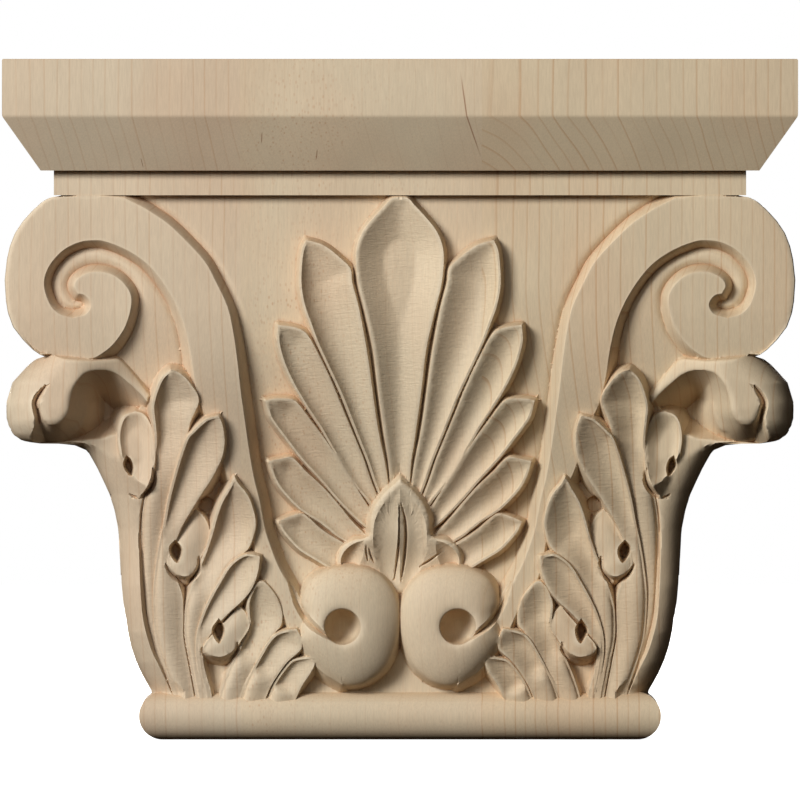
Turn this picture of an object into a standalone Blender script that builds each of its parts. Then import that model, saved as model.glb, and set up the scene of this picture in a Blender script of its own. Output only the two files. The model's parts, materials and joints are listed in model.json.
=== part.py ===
# A carved maple pilaster capital: abacus, corner volutes, palmette, acanthus and foot torus.
# It is one glued-up blank carved as one piece. Lengths are in millimetres until the mesh is
# made. X runs across the front, the flat back stands at +Y, the carved face looks along -Y,
# and Z = 0 is the underside of the torus.

import math

import bmesh
import bpy
import numpy as np
from mathutils import Vector
from mathutils.geometry import delaunay_2d_cdt

MM = 0.001
TINY = 1e-9

# Abacus: a plain slab over a chamfer that returns round the sides with mitred corners.
ABACUS_WIDTH = 286.6
ABACUS_DEPTH = 95.0
ABACUS_EDGE = 20.6
CHAMFER_HEIGHT = 19.6
CHAMFER_RUN = 13.7
ARRIS_ROUND = 2.5

# Fillet block under the abacus.
FILLET_HEIGHT = 8.9
FILLET_SET_BACK = 4.7

# Carved field between the fillet and the torus.
FIELD_HEIGHT = 180.0
VOLUTE_PROUD = 0.4
PANEL_RECESS = 4.6

# Half-round torus at the foot.
TORUS_HEIGHT = 17.3
TORUS_HALF_WIDTH = 94.5
TORUS_DEPTH = 51.0

# Bell behind the carving: its depth from the wall at the foot and at the waist.
BELL_FOOT_DEPTH = 44.0
BELL_WAIST_DEPTH = 46.5

# Relief, measured out from the bell.
PETAL_LIFT = 6.0
PETAL_HOLLOW = 0.26
BAND_LIFT = 8.0
BAND_EASE = 0.3
SCROLL_LIFT = 13.5
BUD_LIFT = 9.0
LOBE_LIFT = 12.0
CURL_REACH = 3.4
GROOVE_DEPTH = 3.5

# Rounding of the plan corner along the leaf, along the curl and along the volute.
LEAF_ROUND = 10.0
CURL_ROUND = 14.0
VOLUTE_ROUND = 1.2

# How finely the carved skin is divided: squares between its points away from drawn lines,
# and steps between the points of a drawn line.
SKIN_SPACING = 18.0
LINE_STEPS = 1

# The skin runs on into the torus below and the fillet above, in squares.
SKIN_FOOT = -10.0
SKIN_TOP = 508.0
LEVEL = 0.002

# Stock left behind the wall plane until the back is cut flat.
SPARE = 1.0

# Heights and depths that follow.
FILLET_HALF_WIDTH = ABACUS_WIDTH / 2 - CHAMFER_RUN - FILLET_SET_BACK
FILLET_DEPTH = ABACUS_DEPTH - CHAMFER_RUN - FILLET_SET_BACK
FIELD_TOP = TORUS_HEIGHT + FIELD_HEIGHT
SOFFIT = FIELD_TOP + FILLET_HEIGHT
TOP = SOFFIT + CHAMFER_HEIGHT + ABACUS_EDGE
VOLUTE_DEPTH = FILLET_DEPTH + VOLUTE_PROUD
PANEL_DEPTH = FILLET_DEPTH - PANEL_RECESS
CURL_DEPTH = FILLET_DEPTH + CURL_REACH
BACK_Y = ABACUS_DEPTH / 2

# The carving is set out on a grid of squares, 500 to the height of the field. Points are
# written (squares out from the centre line, squares up from the top of the torus).
GRID_UP = 500
GRID_OUT = 398
SQUARE_UP = FIELD_HEIGHT / GRID_UP
SQUARE_OUT = ABACUS_WIDTH / 2 / GRID_OUT
SQUARE = 0.5 * (SQUARE_UP + SQUARE_OUT)
WALL = 4.0 * SQUARE
SLOPE = 2.4 * SQUARE

# How leaves are cut: width of the rim in squares, how far the hollow leans to the outer edge
# (1 is not at all) on petals and on lobes, how proud a stem stands where its blade is hollow,
# over what share of the length one turns into the other, and how far out their walls reach.
RIM = 2.0
PETAL_LEAN = 0.8
LOBE_LEAN = 0.62
STEM_CROWN = 0.7
BLADE_END = (-0.08, 0.12)
WALL_REACH = 10.0
SLOPE_REACH = 26.0

# Cuts: half width of a groove in squares, how much steeper a pocket's walls are than a leaf's,
# and how deep the drilled eyes go behind the bell.
GROOVE_WIDTH = 4.2
POCKET_STEEP = 1.8
EYE_DEPTH = 3.0

# Outline of the capital seen from the front, foot to fillet: squares out at each height.
UNDER_CURL = 250.4
UNDER_VOLUTE = 340.0
VOLUTE_TOP = 499.2
SIDE_OUTLINE = [
    (250, 0), (259, 16), (266, 30), (271, 44), (275, 61), (279, 87), (281, 108), (282, 133),
    (283.5, 164), (287, 182), (292, 199), (298.5, 213), (304, 225), (309, 234), (313, 241),
    (318, 246), (324, 249.2), (330, 250.2), (372, 250.6), (382, 252), (388, 255), (392, 260),
    (395, 271), (395, 292), (389, 312), (375, 327.5), (361, 340), (368, 345), (378, 355),
    (388, 368), (393, 382), (395, 394), (396.3, 415), (394, 436), (391, 449), (386, 462),
    (378, 474), (368, 485), (358, 494), (350, 498), (340, 499.6), (340, 520),
]

# The plan corner at each height: how far the body stands out from the bell in millimetres,
# then how much of the way the curl stands from there to its full depth.
BODY_CORNER = [(2.5, 0), (4.9, 16), (6.6, 30), (8.8, 60), (9.1, 108), (7.8, 164), (7.0, 202),
               (6.8, 225), (6.3, 241), (5.7, 250.2)]
CURL_CORNER = [(0.24, 250.6), (0.7, 259), (0.94, 270), (1.0, 292), (0.97, 312), (0.88, 327),
               (0.7, 340)]

# Palmette petals, tip first: upper edge then lower edge.
PETALS = [
    ([(0, 498), (8, 497), (15.5, 489), (24, 480), (34, 468), (40, 457), (43.5, 444), (43.5, 427),
      (41, 408), (37, 392), (33, 376), (26, 344), (21.5, 305), (15, 257), (10.5, 225), (9, 180)],
     None),
    ([(94, 455), (82, 452), (72, 447), (61, 438), (50, 427), (48, 413), (44.5, 400), (41, 386),
      (36.5, 363), (31.5, 333), (27.5, 303), (22, 265), (14, 225), (8, 180)],
     [(94, 455), (98.5, 444), (100.5, 425), (100.5, 408), (97, 389), (91, 372), (84, 353),
      (74, 331), (60, 301), (50, 276), (41, 253), (33, 233), (26, 212), (14, 180)]),
    ([(122, 370), (108, 368), (97, 364), (90, 356), (82, 341), (75, 327), (66, 307), (56, 282),
      (46, 258), (37, 236), (28, 210), (14, 175)],
     [(122, 370), (123, 355), (120.5, 342), (115.5, 327), (108, 311), (100, 297), (92, 284),
      (80, 266), (71, 250), (62, 235), (53, 219), (42, 204), (33, 193), (18, 170)]),
    ([(135, 294), (124, 296), (108, 295), (99, 287), (88, 272), (76, 256), (65, 240), (54, 222),
      (42, 203), (30, 184), (16, 165)],
     [(135, 294), (131, 278), (124, 267), (115, 255), (106, 243), (98, 233), (88, 222),
      (77, 210), (67, 198), (56, 186), (46, 176), (37, 168), (20, 155)]),
    ([(132, 233), (121, 235), (110, 237), (102, 231), (95, 223), (84, 213), (73, 202), (61, 188),
      (48, 172), (36, 160), (20, 145)],
     [(132, 233), (128, 219), (122, 207), (113, 196), (102, 185), (92, 178), (81, 171),
      (72, 164), (62, 156), (44, 146), (22, 134)]),
    ([(122.5, 172), (111, 177), (99, 180), (91, 175), (80, 165), (70, 158), (58, 151), (44, 142),
      (24, 130)],
     [(122.5, 172), (118, 162), (110, 152), (101, 143), (90, 136), (80, 130), (70, 124),
      (52, 117), (26, 110)]),
]

# Volute band: from the foot scroll up the panel side, round the disc and into its coil, then
# back along the inner side of the band.
BAND_PANEL_SIDE = [
    (60, 44), (66, 51), (79, 59), (88, 68), (97, 82), (105, 96), (114, 113), (122, 128),
    (129, 146), (135, 165), (140, 192), (146, 217), (151, 246), (155, 275), (159, 304),
    (162, 332), (166, 361), (172, 388), (184, 414), (195, 434), (214, 455), (232, 472),
    (248, 483), (256, 488), (268, 494), (276, 498),
]
DISC_OUTSIDE = [
    (300, 500), (345, 500), (420, 500), (420, 340), (362, 340), (348, 337.5), (328, 335),
    (308, 336), (298, 341), (288, 349), (278, 362), (272, 375), (268.5, 391), (270, 403),
    (278, 414), (288, 421), (300, 424), (312, 423), (323, 417), (327, 409), (323, 401),
]
COIL_END = [(323, 401), (316, 399), (311, 393), (311, 387), (316, 381), (328, 377.5)]
BAND_INSIDE = [
    (328, 377.5), (340, 381), (349, 389), (354.5, 402), (356, 412), (354, 422), (348, 433),
    (338, 443.5), (328, 449.5), (318, 453), (308, 454), (298, 453.5), (283, 448.5), (268, 441),
    (252, 429), (238, 412), (226, 392), (217, 370), (211, 344), (207, 317), (203, 300),
    (198, 285), (191, 272), (184, 255), (180, 236), (172, 215), (163, 205), (155, 190),
    (150, 174), (148, 155), (144, 132), (138, 112), (125, 95), (118, 80), (112, 66), (104, 54),
    (98, 42), (88, 30), (75, 18), (58, 8),
]

# Foot scroll: its outline, its bowl, the share of its lift that is left at its outer edge, the
# rings its skin follows, and the cut that frees its bulb from the band.
SCROLL_EDGE = [
    (48, 127), (60, 126.5), (73, 124), (88, 115.5), (96, 103), (99, 89), (97, 76), (101, 64),
    (104, 54), (98, 42), (88, 30), (75, 18), (60, 9), (46, 7), (30, 12), (14, 26), (5, 46),
    (0.5, 66), (1, 86), (8, 104), (20, 118), (34, 125),
]
SCROLL_HOLE = (57.5, 66.4)
SCROLL_HOLE_RADIUS = 16.8
SCROLL_EDGE_SHARE = 0.45
BOWL_DEPTH = 12.0
SCROLL_RINGS = (1.0, 0.78, 0.55)
BULB_CUT = [(112, 112), (107, 100), (101, 86), (93, 73), (85, 65), (75, 57.5), (66, 52)]

# Bud at the root of the palmette: outline, the hollows of its lobes and the cut in its middle.
BUD_OUTLINE = [
    (0, 216), (8, 209), (15, 202.5), (25.5, 189), (30.5, 174), (32, 158), (47, 154), (58, 147),
    (63, 136), (62, 122), (45, 108), (20, 100), (0, 98),
]
BUD_MIDDLE = ([(0, 209), (12, 196), (20.5, 184), (25.5, 172), (27, 158), (26, 140), (20, 122),
               (3, 98)],
              [(0, 209), (0, 175), (0, 145), (0, 98)])
BUD_SIDE = ([(36, 153), (46, 150), (55, 143), (59.5, 134), (58, 124), (50, 116)],
            [(36, 153), (37, 138), (44, 122), (50, 116)])
BUD_HOLLOWS = (0.16, 0.34)
BUD_ROUND = 2.2
BUD_FOOT = 4.5

# Acanthus, tip first. Each lobe: outer edge, inner edge, lift at tip and root as shares of
# LOBE_LIFT, how much higher the inner edge stands in millimetres, its hollow, and how much of
# its length is blade before the stem.
LOBES = [
    ([(230, 325), (238, 318), (244, 306), (248.5, 289), (247.5, 274), (246, 257), (247, 240),
      (250, 222), (254, 205), (258, 185), (260, 165), (260, 140), (259, 110), (257, 80),
      (253, 60), (247, 41), (239, 25), (228, 0), (224, -14)],
     [(230, 325), (223, 323), (215, 317), (208, 308), (203, 300), (202, 292), (205, 284),
      (210, 273), (214, 257), (220, 240), (227, 215), (231, 195), (235, 172), (239, 150),
      (244, 122), (246, 95), (244, 60), (238, 35), (226, 0), (222, -14)],
     (0.80, 0.30), 1.0, 0.30, 0.26),
    ([(182, 279), (193, 276), (201, 270), (208, 263), (214, 256), (221, 237), (228, 213),
      (233, 193), (237, 171), (242, 148), (246, 121), (248, 95), (246, 60), (240, 35),
      (228, 0), (224, -14)],
     [(182, 279), (178, 269), (176, 254), (178, 239), (183, 227), (190, 214), (198, 202),
      (208, 186), (218, 169), (226, 151), (231, 137), (226, 118), (219, 98), (218, 78),
      (218, 56), (214, 33), (208, 0), (206, -14)],
     (1.05, 0.28), 0.0, 0.26, 0.40),
    ([(166, 217), (173, 204), (180, 192), (186, 175), (190, 160), (196, 142), (203, 125),
      (209, 108), (214, 92), (216, 78), (216, 56), (212, 33), (206, 0), (204, -14)],
     [(166, 217), (162, 210), (153, 199), (147, 183), (145, 168), (149, 152), (155, 142),
      (166, 135), (175, 126), (184, 110), (191, 92), (198, 72), (202, 50), (200, 25),
      (196, 0), (194, -14)],
     (1.0, 0.30), 0.5, 0.28, 0.48),
    ([(141, 137), (149, 139), (156, 139), (165, 134), (173, 126), (181, 113), (190, 97),
      (198, 80), (204, 60), (205, 40), (202, 20), (198, 0), (197, -14)],
     [(141, 137), (142, 125), (146, 111), (152, 100), (160, 91), (169, 83), (178, 74),
      (188, 62), (196, 48), (198, 32), (194, 14), (190, 0), (189, -14)],
     (1.05, 0.30), 0.0, 0.26, 0.55),
    ([(141, 112), (147, 106), (153, 92), (153, 78), (152, 68), (157, 55), (164, 40),
      (173, 20), (180, 0), (183, -14)],
     [(141, 112), (136, 111), (128, 102), (122, 92), (118.5, 80), (119.5, 68), (125, 61),
      (133, 50), (141, 35), (150, 18), (158, 0), (162, -14)],
     (0.85, 0.28), 0.0, 0.26, 0.60),
    ([(104, 64), (117, 62), (126, 58), (133, 50), (140, 38), (147, 25), (155, 8), (162, -14)],
     [(104, 64), (100, 56), (99, 45), (105, 38), (113, 31), (122, 19), (131, 4), (138, -14)],
     (0.85, 0.30), 0.0, 0.24, 0.60),
    ([(87, 36), (99, 35), (109, 32), (118, 22), (127, 8), (136, -14)],
     [(87, 36), (86, 28), (91, 18), (99, 6), (108, -14)],
     (0.75, 0.30), 0.0, 0.24, 0.70),
]

# Small rounded lobes that stand on the leaf, each with a drilled eye at its root and a
# crescent cut under it: outer edge, inner edge, lift at tip and root in millimetres, hollow.
EYELETS = [
    ([(266, 283), (276, 279), (281, 270), (283, 256), (281, 240), (279, 222), (274, 207),
      (262, 199)],
     [(266, 283), (257, 280), (250, 269), (246, 255), (245.5, 240), (247, 226), (250, 212),
      (262, 199)], (2.6, 13.0), 0.26),
    ([(205, 184), (213, 174), (220, 162), (226, 150), (232, 138), (233, 127), (226, 118),
      (215, 113)],
     [(205, 184), (198, 178), (193, 169), (191, 158), (193, 147), (200, 136), (205, 122),
      (215, 113)], (5.8, 9.1), -0.10),
    ([(162, 87), (169, 78), (178, 68), (188, 58), (196, 48), (197, 40), (190, 35), (180, 33)],
     [(162, 87), (155, 80), (151, 71), (153, 62), (160, 52), (165, 43), (171, 36), (180, 33)],
     (7.6, 9.1), -0.10),
]
EYES = [
    [(275, 239), (279, 229), (275, 221), (269, 217), (267, 226), (270, 235)],
    [(226, 154), (219, 146), (219, 137), (224, 130), (231, 138), (232, 147)],
    [(182, 75), (176, 65), (177, 55), (182, 49), (188, 57), (189, 65)],
    [(195, 199), (203, 194), (203, 184), (195, 181), (188, 185), (187, 193)],
]
CRESCENTS = [
    [(248, 227), (247, 215), (251, 205), (259, 199), (267, 198), (274, 202)],
    [(202, 138), (202, 126), (207, 117), (215, 113), (224, 115), (231, 121), (236, 130)],
    [(163, 51), (164, 43), (170, 36), (180, 32), (191, 34), (197, 39), (199, 46)],
]

# Leaf tip that curls out under the volute: the slab of its roof and two hanging lobes, the drum
# rolled up inside, the hollow under the roof, and the crease between the lobes.
CURL_SLAB = [
    (420, 344), (361, 341), (348, 338), (328, 336), (308, 335), (282, 336), (274, 329),
    (265.5, 319), (257, 308), (250.5, 299), (254, 292.5), (260.5, 299.5), (272.5, 311),
    (285.5, 321), (299, 324), (315, 321), (325, 309), (329.5, 296), (332, 281), (340, 271),
    (350, 269), (356, 272.5), (357.5, 279), (359.5, 271), (361.5, 264), (366, 256), (382, 251),
    (420, 247),
]
CURL_DRUM = [
    (352, 276), (350, 266), (344, 261.5), (332, 259.5), (322, 263.5), (315.5, 274), (312.5, 288),
    (315.5, 304), (322, 314), (340, 320), (356, 300),
]
HOOD_HOLLOW = [
    (254.5, 292), (261, 299), (272.5, 310.5), (285.5, 320.5), (299, 323.5), (315, 320.5),
    (325, 309), (331, 296), (336, 281), (338, 266), (332, 252), (312, 246), (296, 248),
    (284, 254), (280, 268), (271, 281), (262, 285),
]
CURL_CREASE = [(354, 309), (362, 300), (365, 291), (364, 282), (359, 273), (357, 264)]
DRUM_SET_BACK = 9.0
DRUM_ROUND = 6.0
CURL_FALL = 12.0
CURL_EDGE = (1.6, 5.6)
CREASE_WIDTH = 5.0
CREASE_DEPTH = 4.9


def smoothstep(value, low, high):
    """Ease from 0 at low to 1 at high."""
    share = np.clip((value - low) / (high - low), 0.0, 1.0)
    return share * share * (3.0 - 2.0 * share)


def drawn(points, cuts=LINE_STEPS):
    """A smooth line through the given points."""
    line = np.array(points, float)
    padded = np.vstack([2 * line[0] - line[1], line, 2 * line[-1] - line[-2]])
    share = (np.arange(cuts) / cuts)[:, None]
    spans = []
    for p0, p1, p2, p3 in zip(padded, padded[1:], padded[2:], padded[3:]):
        spans.append(0.5 * (2 * p1 + (p2 - p0) * share
                            + (2 * p0 - 5 * p1 + 4 * p2 - p3) * share ** 2
                            + (3 * p1 - p0 - 3 * p2 + p3) * share ** 3))
    return np.vstack(spans + [line[-1:]])


def reach(out, up, line):
    """Distance from each point to a line, and how far along the line its nearest place is."""
    lengths = np.hypot(*np.diff(line, axis=0).T)
    marks = np.concatenate([[0.0], np.cumsum(lengths)]) / lengths.sum()
    best = np.full(out.shape, 1e9)
    along = np.zeros(out.shape)
    for (x0, y0), (x1, y1), m0, m1 in zip(line, line[1:], marks, marks[1:]):
        dx, dy = x1 - x0, y1 - y0
        share = np.clip(((out - x0) * dx + (up - y0) * dy) / (dx * dx + dy * dy + TINY), 0.0, 1.0)
        gap = np.hypot(out - x0 - share * dx, up - y0 - share * dy)
        closer = gap < best
        best = np.where(closer, gap, best)
        along = np.where(closer, m0 + share * (m1 - m0), along)
    return best, along


def closed(ring):
    """An outline with its first point repeated at the end."""
    return np.vstack([ring, ring[:1]])


def inside(out, up, ring):
    """Which points lie within a closed outline."""
    hit = np.zeros(out.shape, bool)
    for (x0, y0), (x1, y1) in zip(ring, np.roll(ring, -1, axis=0)):
        if y0 != y1:
            crosses = (y0 > up) != (y1 > up)
            hit ^= crosses & (out < (x1 - x0) * (up - y0) / (y1 - y0) + x0)
    return hit


def window(out, up, lines, margin):
    """The points close enough to some lines to be shaped by them."""
    every = np.vstack(lines)
    low, high = every.min(axis=0) - margin, every.max(axis=0) + margin
    return (out > low[0]) & (out < high[0]) & (up > low[1]) & (up < high[1])


def bell(up):
    """Depth of the plain bell behind the carving."""
    foot = smoothstep(up, 0, 125) * (BELL_WAIST_DEPTH - BELL_FOOT_DEPTH)
    flare = smoothstep(up, 118, 412) * (PANEL_DEPTH - BELL_WAIST_DEPTH)
    return BELL_FOOT_DEPTH + foot + flare


def half_width(up):
    """Squares from the centre line to the outline at each height."""
    outline = np.array(SIDE_OUTLINE)
    return np.interp(up, outline[:, 1], outline[:, 0])


def body_corner(up):
    """Distance from the wall to the leaf at the plan corner."""
    body = np.array(BODY_CORNER)
    return bell(up) + np.interp(up, body[:, 1], body[:, 0])


def corner_depth(up):
    """Distance from the wall to the front at the plan corner."""
    curl = np.array(CURL_CORNER)
    depth = body_corner(np.minimum(up, UNDER_CURL))
    curled = depth + (CURL_DEPTH - depth) * np.interp(up, curl[:, 1], curl[:, 0])
    depth = np.where(up > UNDER_CURL, curled, depth)
    depth = np.where(up > UNDER_VOLUTE, VOLUTE_DEPTH, depth)
    return np.where(up > VOLUTE_TOP, PANEL_DEPTH, depth)


def corner_round(up):
    """Radius of the plan corner."""
    radius = np.where(up > UNDER_CURL, CURL_ROUND, LEAF_ROUND)
    return np.where(up > UNDER_VOLUTE, VOLUTE_ROUND, radius)


def raise_scoop(face, out, up, outer, inner, lift, lean, hollow, blade=None):
    """Add a leaf between two edges, dished across, with sloping walls outside them."""
    edges = [drawn(outer), drawn(inner)]
    near = window(out, up, edges, WALL_REACH)
    a, b = out[near], up[near]
    gap_out, along_out = reach(a, b, edges[0])
    gap_in, along_in = reach(a, b, edges[1])
    across = gap_out / (gap_out + gap_in + TINY)
    along = 0.5 * (along_out + along_in)
    within = inside(a, b, np.vstack([edges[0], edges[1][::-1]]))
    rim = bell(b) + lift[0] + (lift[1] - lift[0]) * along + lean * (across - 0.5)
    span = np.maximum(gap_out + gap_in - 2 * RIM, 0.0)
    share = np.clip((gap_out - RIM) / (span + TINY), 0.0, 1.0)
    lean_out = PETAL_LEAN if blade is None else LOBE_LEAN
    dish = hollow * SQUARE * span * np.sin(math.pi * share ** lean_out)
    if blade is not None:
        stem = smoothstep(along, blade + BLADE_END[0], blade + BLADE_END[1])
        dish *= 1.0 - (1.0 + STEM_CROWN) * stem
    shape = np.where(within, rim - dish, rim - WALL * np.minimum(gap_out, gap_in))
    face[near] = np.maximum(face[near], shape)


def sink_scoop(face, out, up, outer, inner, hollow):
    """Dish what is there already between two edges."""
    edges = [drawn(outer), drawn(inner)]
    near = window(out, up, edges, 0)
    a, b = out[near], up[near]
    gaps = [reach(a, b, edge)[0] for edge in edges]
    span = sum(gaps)
    dish = hollow * SQUARE * span * np.sin(math.pi * (gaps[0] / (span + TINY)) ** PETAL_LEAN)
    within = inside(a, b, np.vstack([edges[0], edges[1][::-1]]))
    face[near] -= np.where(within, dish, 0.0)


def raise_pillow(face, out, up, ring, top, radius):
    """Add a raised shape whose edge is rounded over, with sloping walls below the round."""
    near = window(out, up, [ring], SLOPE_REACH)
    a, b = out[near], up[near]
    radius = radius(a, b) if callable(radius) else radius
    gap = reach(a, b, closed(ring))[0]
    fall = np.maximum(radius - gap * SQUARE, 0.0)
    round_over = radius - np.sqrt(radius ** 2 - fall ** 2)
    level = top(a, b)
    shape = np.where(inside(a, b, ring), level - round_over, level - radius - SLOPE * gap)
    face[near] = np.maximum(face[near], shape)


def cut_pocket(face, out, up, ring, floor, steep):
    """Sink a shape inside a closed outline."""
    near = window(out, up, [ring], 0)
    a, b = out[near], up[near]
    gap = reach(a, b, closed(ring))[0]
    sunk = np.maximum(floor, face[near] - steep * gap)
    face[near] = np.where(inside(a, b, ring), np.minimum(face[near], sunk), face[near])


def cut_groove(face, out, up, points, width, depth):
    """Cut a V groove that fades out at both ends."""
    line = drawn(points)
    near = window(out, up, [line], width)
    gap, along = reach(out[near], up[near], line)
    fade = np.sqrt(np.clip(np.sin(math.pi * along), 0.0, 1.0))
    face[near] -= depth * np.clip(1.0 - gap / width, 0.0, 1.0) * fade


def band_ring():
    """Closed outline of the volute band with its disc."""
    parts = [drawn(BAND_PANEL_SIDE), np.array(DISC_OUTSIDE[:4], float), drawn(DISC_OUTSIDE[4:]),
             drawn(COIL_END)[1:], drawn(BAND_INSIDE)[1:]]
    return np.vstack(parts)


def band_top(out, up):
    """Face of the volute band: flush with the disc above, following the bell below."""
    low = bell(up) + BAND_LIFT - 3.0 * smoothstep(up, 300, 420)
    return np.minimum(low, VOLUTE_DEPTH)


def curl_top(out, up):
    """Face of the curled leaf tip, falling away towards the panel."""
    fall = CURL_FALL * smoothstep(-out, -330, -250)
    return corner_depth(np.clip(up, UNDER_CURL + 20, UNDER_VOLUTE - 1)) - fall


def curl_edge(out, up):
    """Radius of the curl's edge: thin at the roof's rim, fat round the hanging lobes."""
    fat = smoothstep(out, 318, 338) * smoothstep(-up, -330, -300)
    return CURL_EDGE[0] + (CURL_EDGE[1] - CURL_EDGE[0]) * fat


def raise_scroll(face, out, up):
    """The scroll's quarter-ball face, then the bowl at its middle."""
    ring = drawn(SCROLL_EDGE)
    near = window(out, up, [ring], WALL_REACH)
    a, b = out[near], up[near]
    to_edge = reach(a, b, closed(ring))[0]
    turn = np.hypot(a - SCROLL_HOLE[0], b - SCROLL_HOLE[1])
    to_hole = np.maximum(turn - SCROLL_HOLE_RADIUS, 0.0)
    share = to_hole / (to_hole + to_edge + TINY)
    ball = np.clip(1.0 - share ** 2, 0.0, 1.0) ** 0.7
    edge = SCROLL_EDGE_SHARE * SCROLL_LIFT
    shape = np.where(inside(a, b, ring), edge + (SCROLL_LIFT - edge) * ball,
                     edge - WALL * to_edge)
    face[near] = np.maximum(face[near], bell(b) + shape)
    bowl = turn < SCROLL_HOLE_RADIUS - 0.5
    depth = BOWL_DEPTH * np.sqrt(np.clip(1.0 - (turn / SCROLL_HOLE_RADIUS) ** 3, 0.0, 1.0))
    face[near] = np.where(bowl, bell(b) + SCROLL_LIFT - depth, face[near])


def raise_bud(face, out, up):
    """The bud's body, rounded over, and the hollows of its lobes."""
    right = drawn(BUD_OUTLINE)
    ring = np.vstack([right, (right * (-1, 1))[::-1]])
    raise_pillow(face, out, up, ring, lambda a, b: bell(b) + BUD_LIFT, BUD_ROUND)
    for edges, hollow in zip((BUD_MIDDLE, BUD_SIDE), BUD_HOLLOWS):
        sink_scoop(face, out, up, *edges, hollow)


def raise_curl(face, out, up):
    """The round hollow, the rolled drum in it, and the slab of roof and lobes over them."""
    slab = np.array(CURL_SLAB, float)
    raise_pillow(face, out, up, slab, curl_top, curl_edge)
    floor = bell(np.full(1, UNDER_CURL))[0] - 1.0
    cut_pocket(face, out, up, drawn(HOOD_HOLLOW), floor, POCKET_STEEP * WALL)
    raise_pillow(face, out, up, drawn(CURL_DRUM), lambda a, b: 0 * b + CURL_DEPTH - DRUM_SET_BACK,
                 DRUM_ROUND)
    raise_pillow(face, out, up, slab, curl_top, curl_edge)
    cut_groove(face, out, up, CURL_CREASE, CREASE_WIDTH, CREASE_DEPTH)


def raise_acanthus(face, out, up):
    """Corner strip, lobes, small lobes, then eyes and crescents."""
    strip = np.array([(x + 2, y) for x, y in LOBES[0][0][4:]] + [(420, -14), (420, 246), (300, 256)])
    raise_pillow(face, out, up, strip, lambda a, b: corner_depth(np.minimum(b, 235)), 0.8)
    for outer, inner, lift, lean, hollow, blade in LOBES:
        lifts = [share * LOBE_LIFT for share in lift]
        raise_scoop(face, out, up, outer, inner, lifts, lean, hollow, blade)
    for outer, inner, lift, hollow in EYELETS:
        raise_scoop(face, out, up, outer, inner, lift, 0.0, hollow)
    for points in EYES:
        cut_pocket(face, out, up, drawn(points), bell(np.array(points[0][1])) - EYE_DEPTH,
                   POCKET_STEEP * WALL)
    for points in CRESCENTS:
        cut_groove(face, out, up, points, GROOVE_WIDTH, GROOVE_DEPTH)


def carve(out, up, palmette=True):
    """Depth of the carved face at points of the setting-out grid."""
    face = bell(up)
    if palmette:
        for upper, lower in PETALS[::-1]:
            mirrored = [(-x, y) for x, y in upper] if lower is None else lower
            raise_scoop(face, out, up, mirrored, upper, (PETAL_LIFT, 0.7 * PETAL_LIFT), 0.0,
                        PETAL_HOLLOW)
        raise_pillow(face, out, up, band_ring(), band_top, BAND_EASE)
        raise_bud(face, out, up)
        raise_scroll(face, out, up)
        cut_groove(face, out, up, BULB_CUT, GROOVE_WIDTH, GROOVE_DEPTH)
    raise_curl(face, out, up)
    raise_acanthus(face, out, up)
    return face


def offset(line, distance):
    """A line moved sideways, so that a wall has its foot drawn too."""
    along = np.gradient(line, axis=0)
    along /= np.hypot(along[:, 0], along[:, 1])[:, None] + TINY
    return line + distance * np.stack([-along[:, 1], along[:, 0]], axis=1)


def leaf_lines(outer, inner, wall_foot):
    """Edges, hollow and wall feet of one leaf."""
    edges = [drawn(outer), drawn(inner)]
    share = np.linspace(0.12, 0.9, (2 * len(inner)) // 3)
    middles = []
    for line in edges:
        marks = np.concatenate([[0.0], np.cumsum(np.hypot(*np.diff(line, axis=0).T))])
        marks /= marks[-1]
        middles.append(np.stack([np.interp(share, marks, line[:, i]) for i in (0, 1)], axis=1))
    hollow = 0.5 * (middles[0] + middles[1])
    return edges + [hollow, offset(edges[0], wall_foot), offset(edges[1], -wall_foot)]


def front_lines():
    """Lines that the skin follows on the front."""
    lines = []
    for upper, lower in PETALS:
        mirrored = [(-x, y) for x, y in upper] if lower is None else lower
        lines += leaf_lines(mirrored, upper, PETAL_LIFT / WALL)
    band = band_ring()
    band_foot = BAND_LIFT / SLOPE
    lines += [band, offset(drawn(BAND_PANEL_SIDE), 0.75 * band_foot)]
    lines += [offset(drawn(COIL_END + BAND_INSIDE[1:22]), 0.75 * band_foot)]
    lines += [offset(drawn(DISC_OUTSIDE[4:]), 0.75 * band_foot)]
    bud = drawn(BUD_OUTLINE)
    lines += [bud, offset(bud, BUD_FOOT)] + [drawn(edge) for edge in (*BUD_MIDDLE, *BUD_SIDE)]
    lines.append(drawn(BULB_CUT))
    for share in SCROLL_RINGS:
        lines.append(SCROLL_HOLE + share * (closed(drawn(SCROLL_EDGE)) - SCROLL_HOLE))
    for radius in (SCROLL_HOLE_RADIUS, SCROLL_HOLE_RADIUS - 1.5):
        turns = np.linspace(0.0, 2.0 * math.pi, 19)
        lines.append(np.stack([SCROLL_HOLE[0] + radius * np.cos(turns),
                               SCROLL_HOLE[1] + radius * np.sin(turns)], axis=1))
    return lines + side_lines()


def side_lines():
    """Lines that the skin follows on the returns: the leaf and its curled tip."""
    lines = []
    for outer, inner, *_ in LOBES:
        lines += leaf_lines(outer, inner, 3.0)
    for outer, inner, *_ in EYELETS:
        lines += leaf_lines(outer, inner, 2.0)
    for points in EYES + [CURL_DRUM, HOOD_HOLLOW, CURL_SLAB]:
        lines.append(closed(drawn(points)))
    return lines + [drawn(points) for points in CRESCENTS + [CURL_CREASE]]


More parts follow.
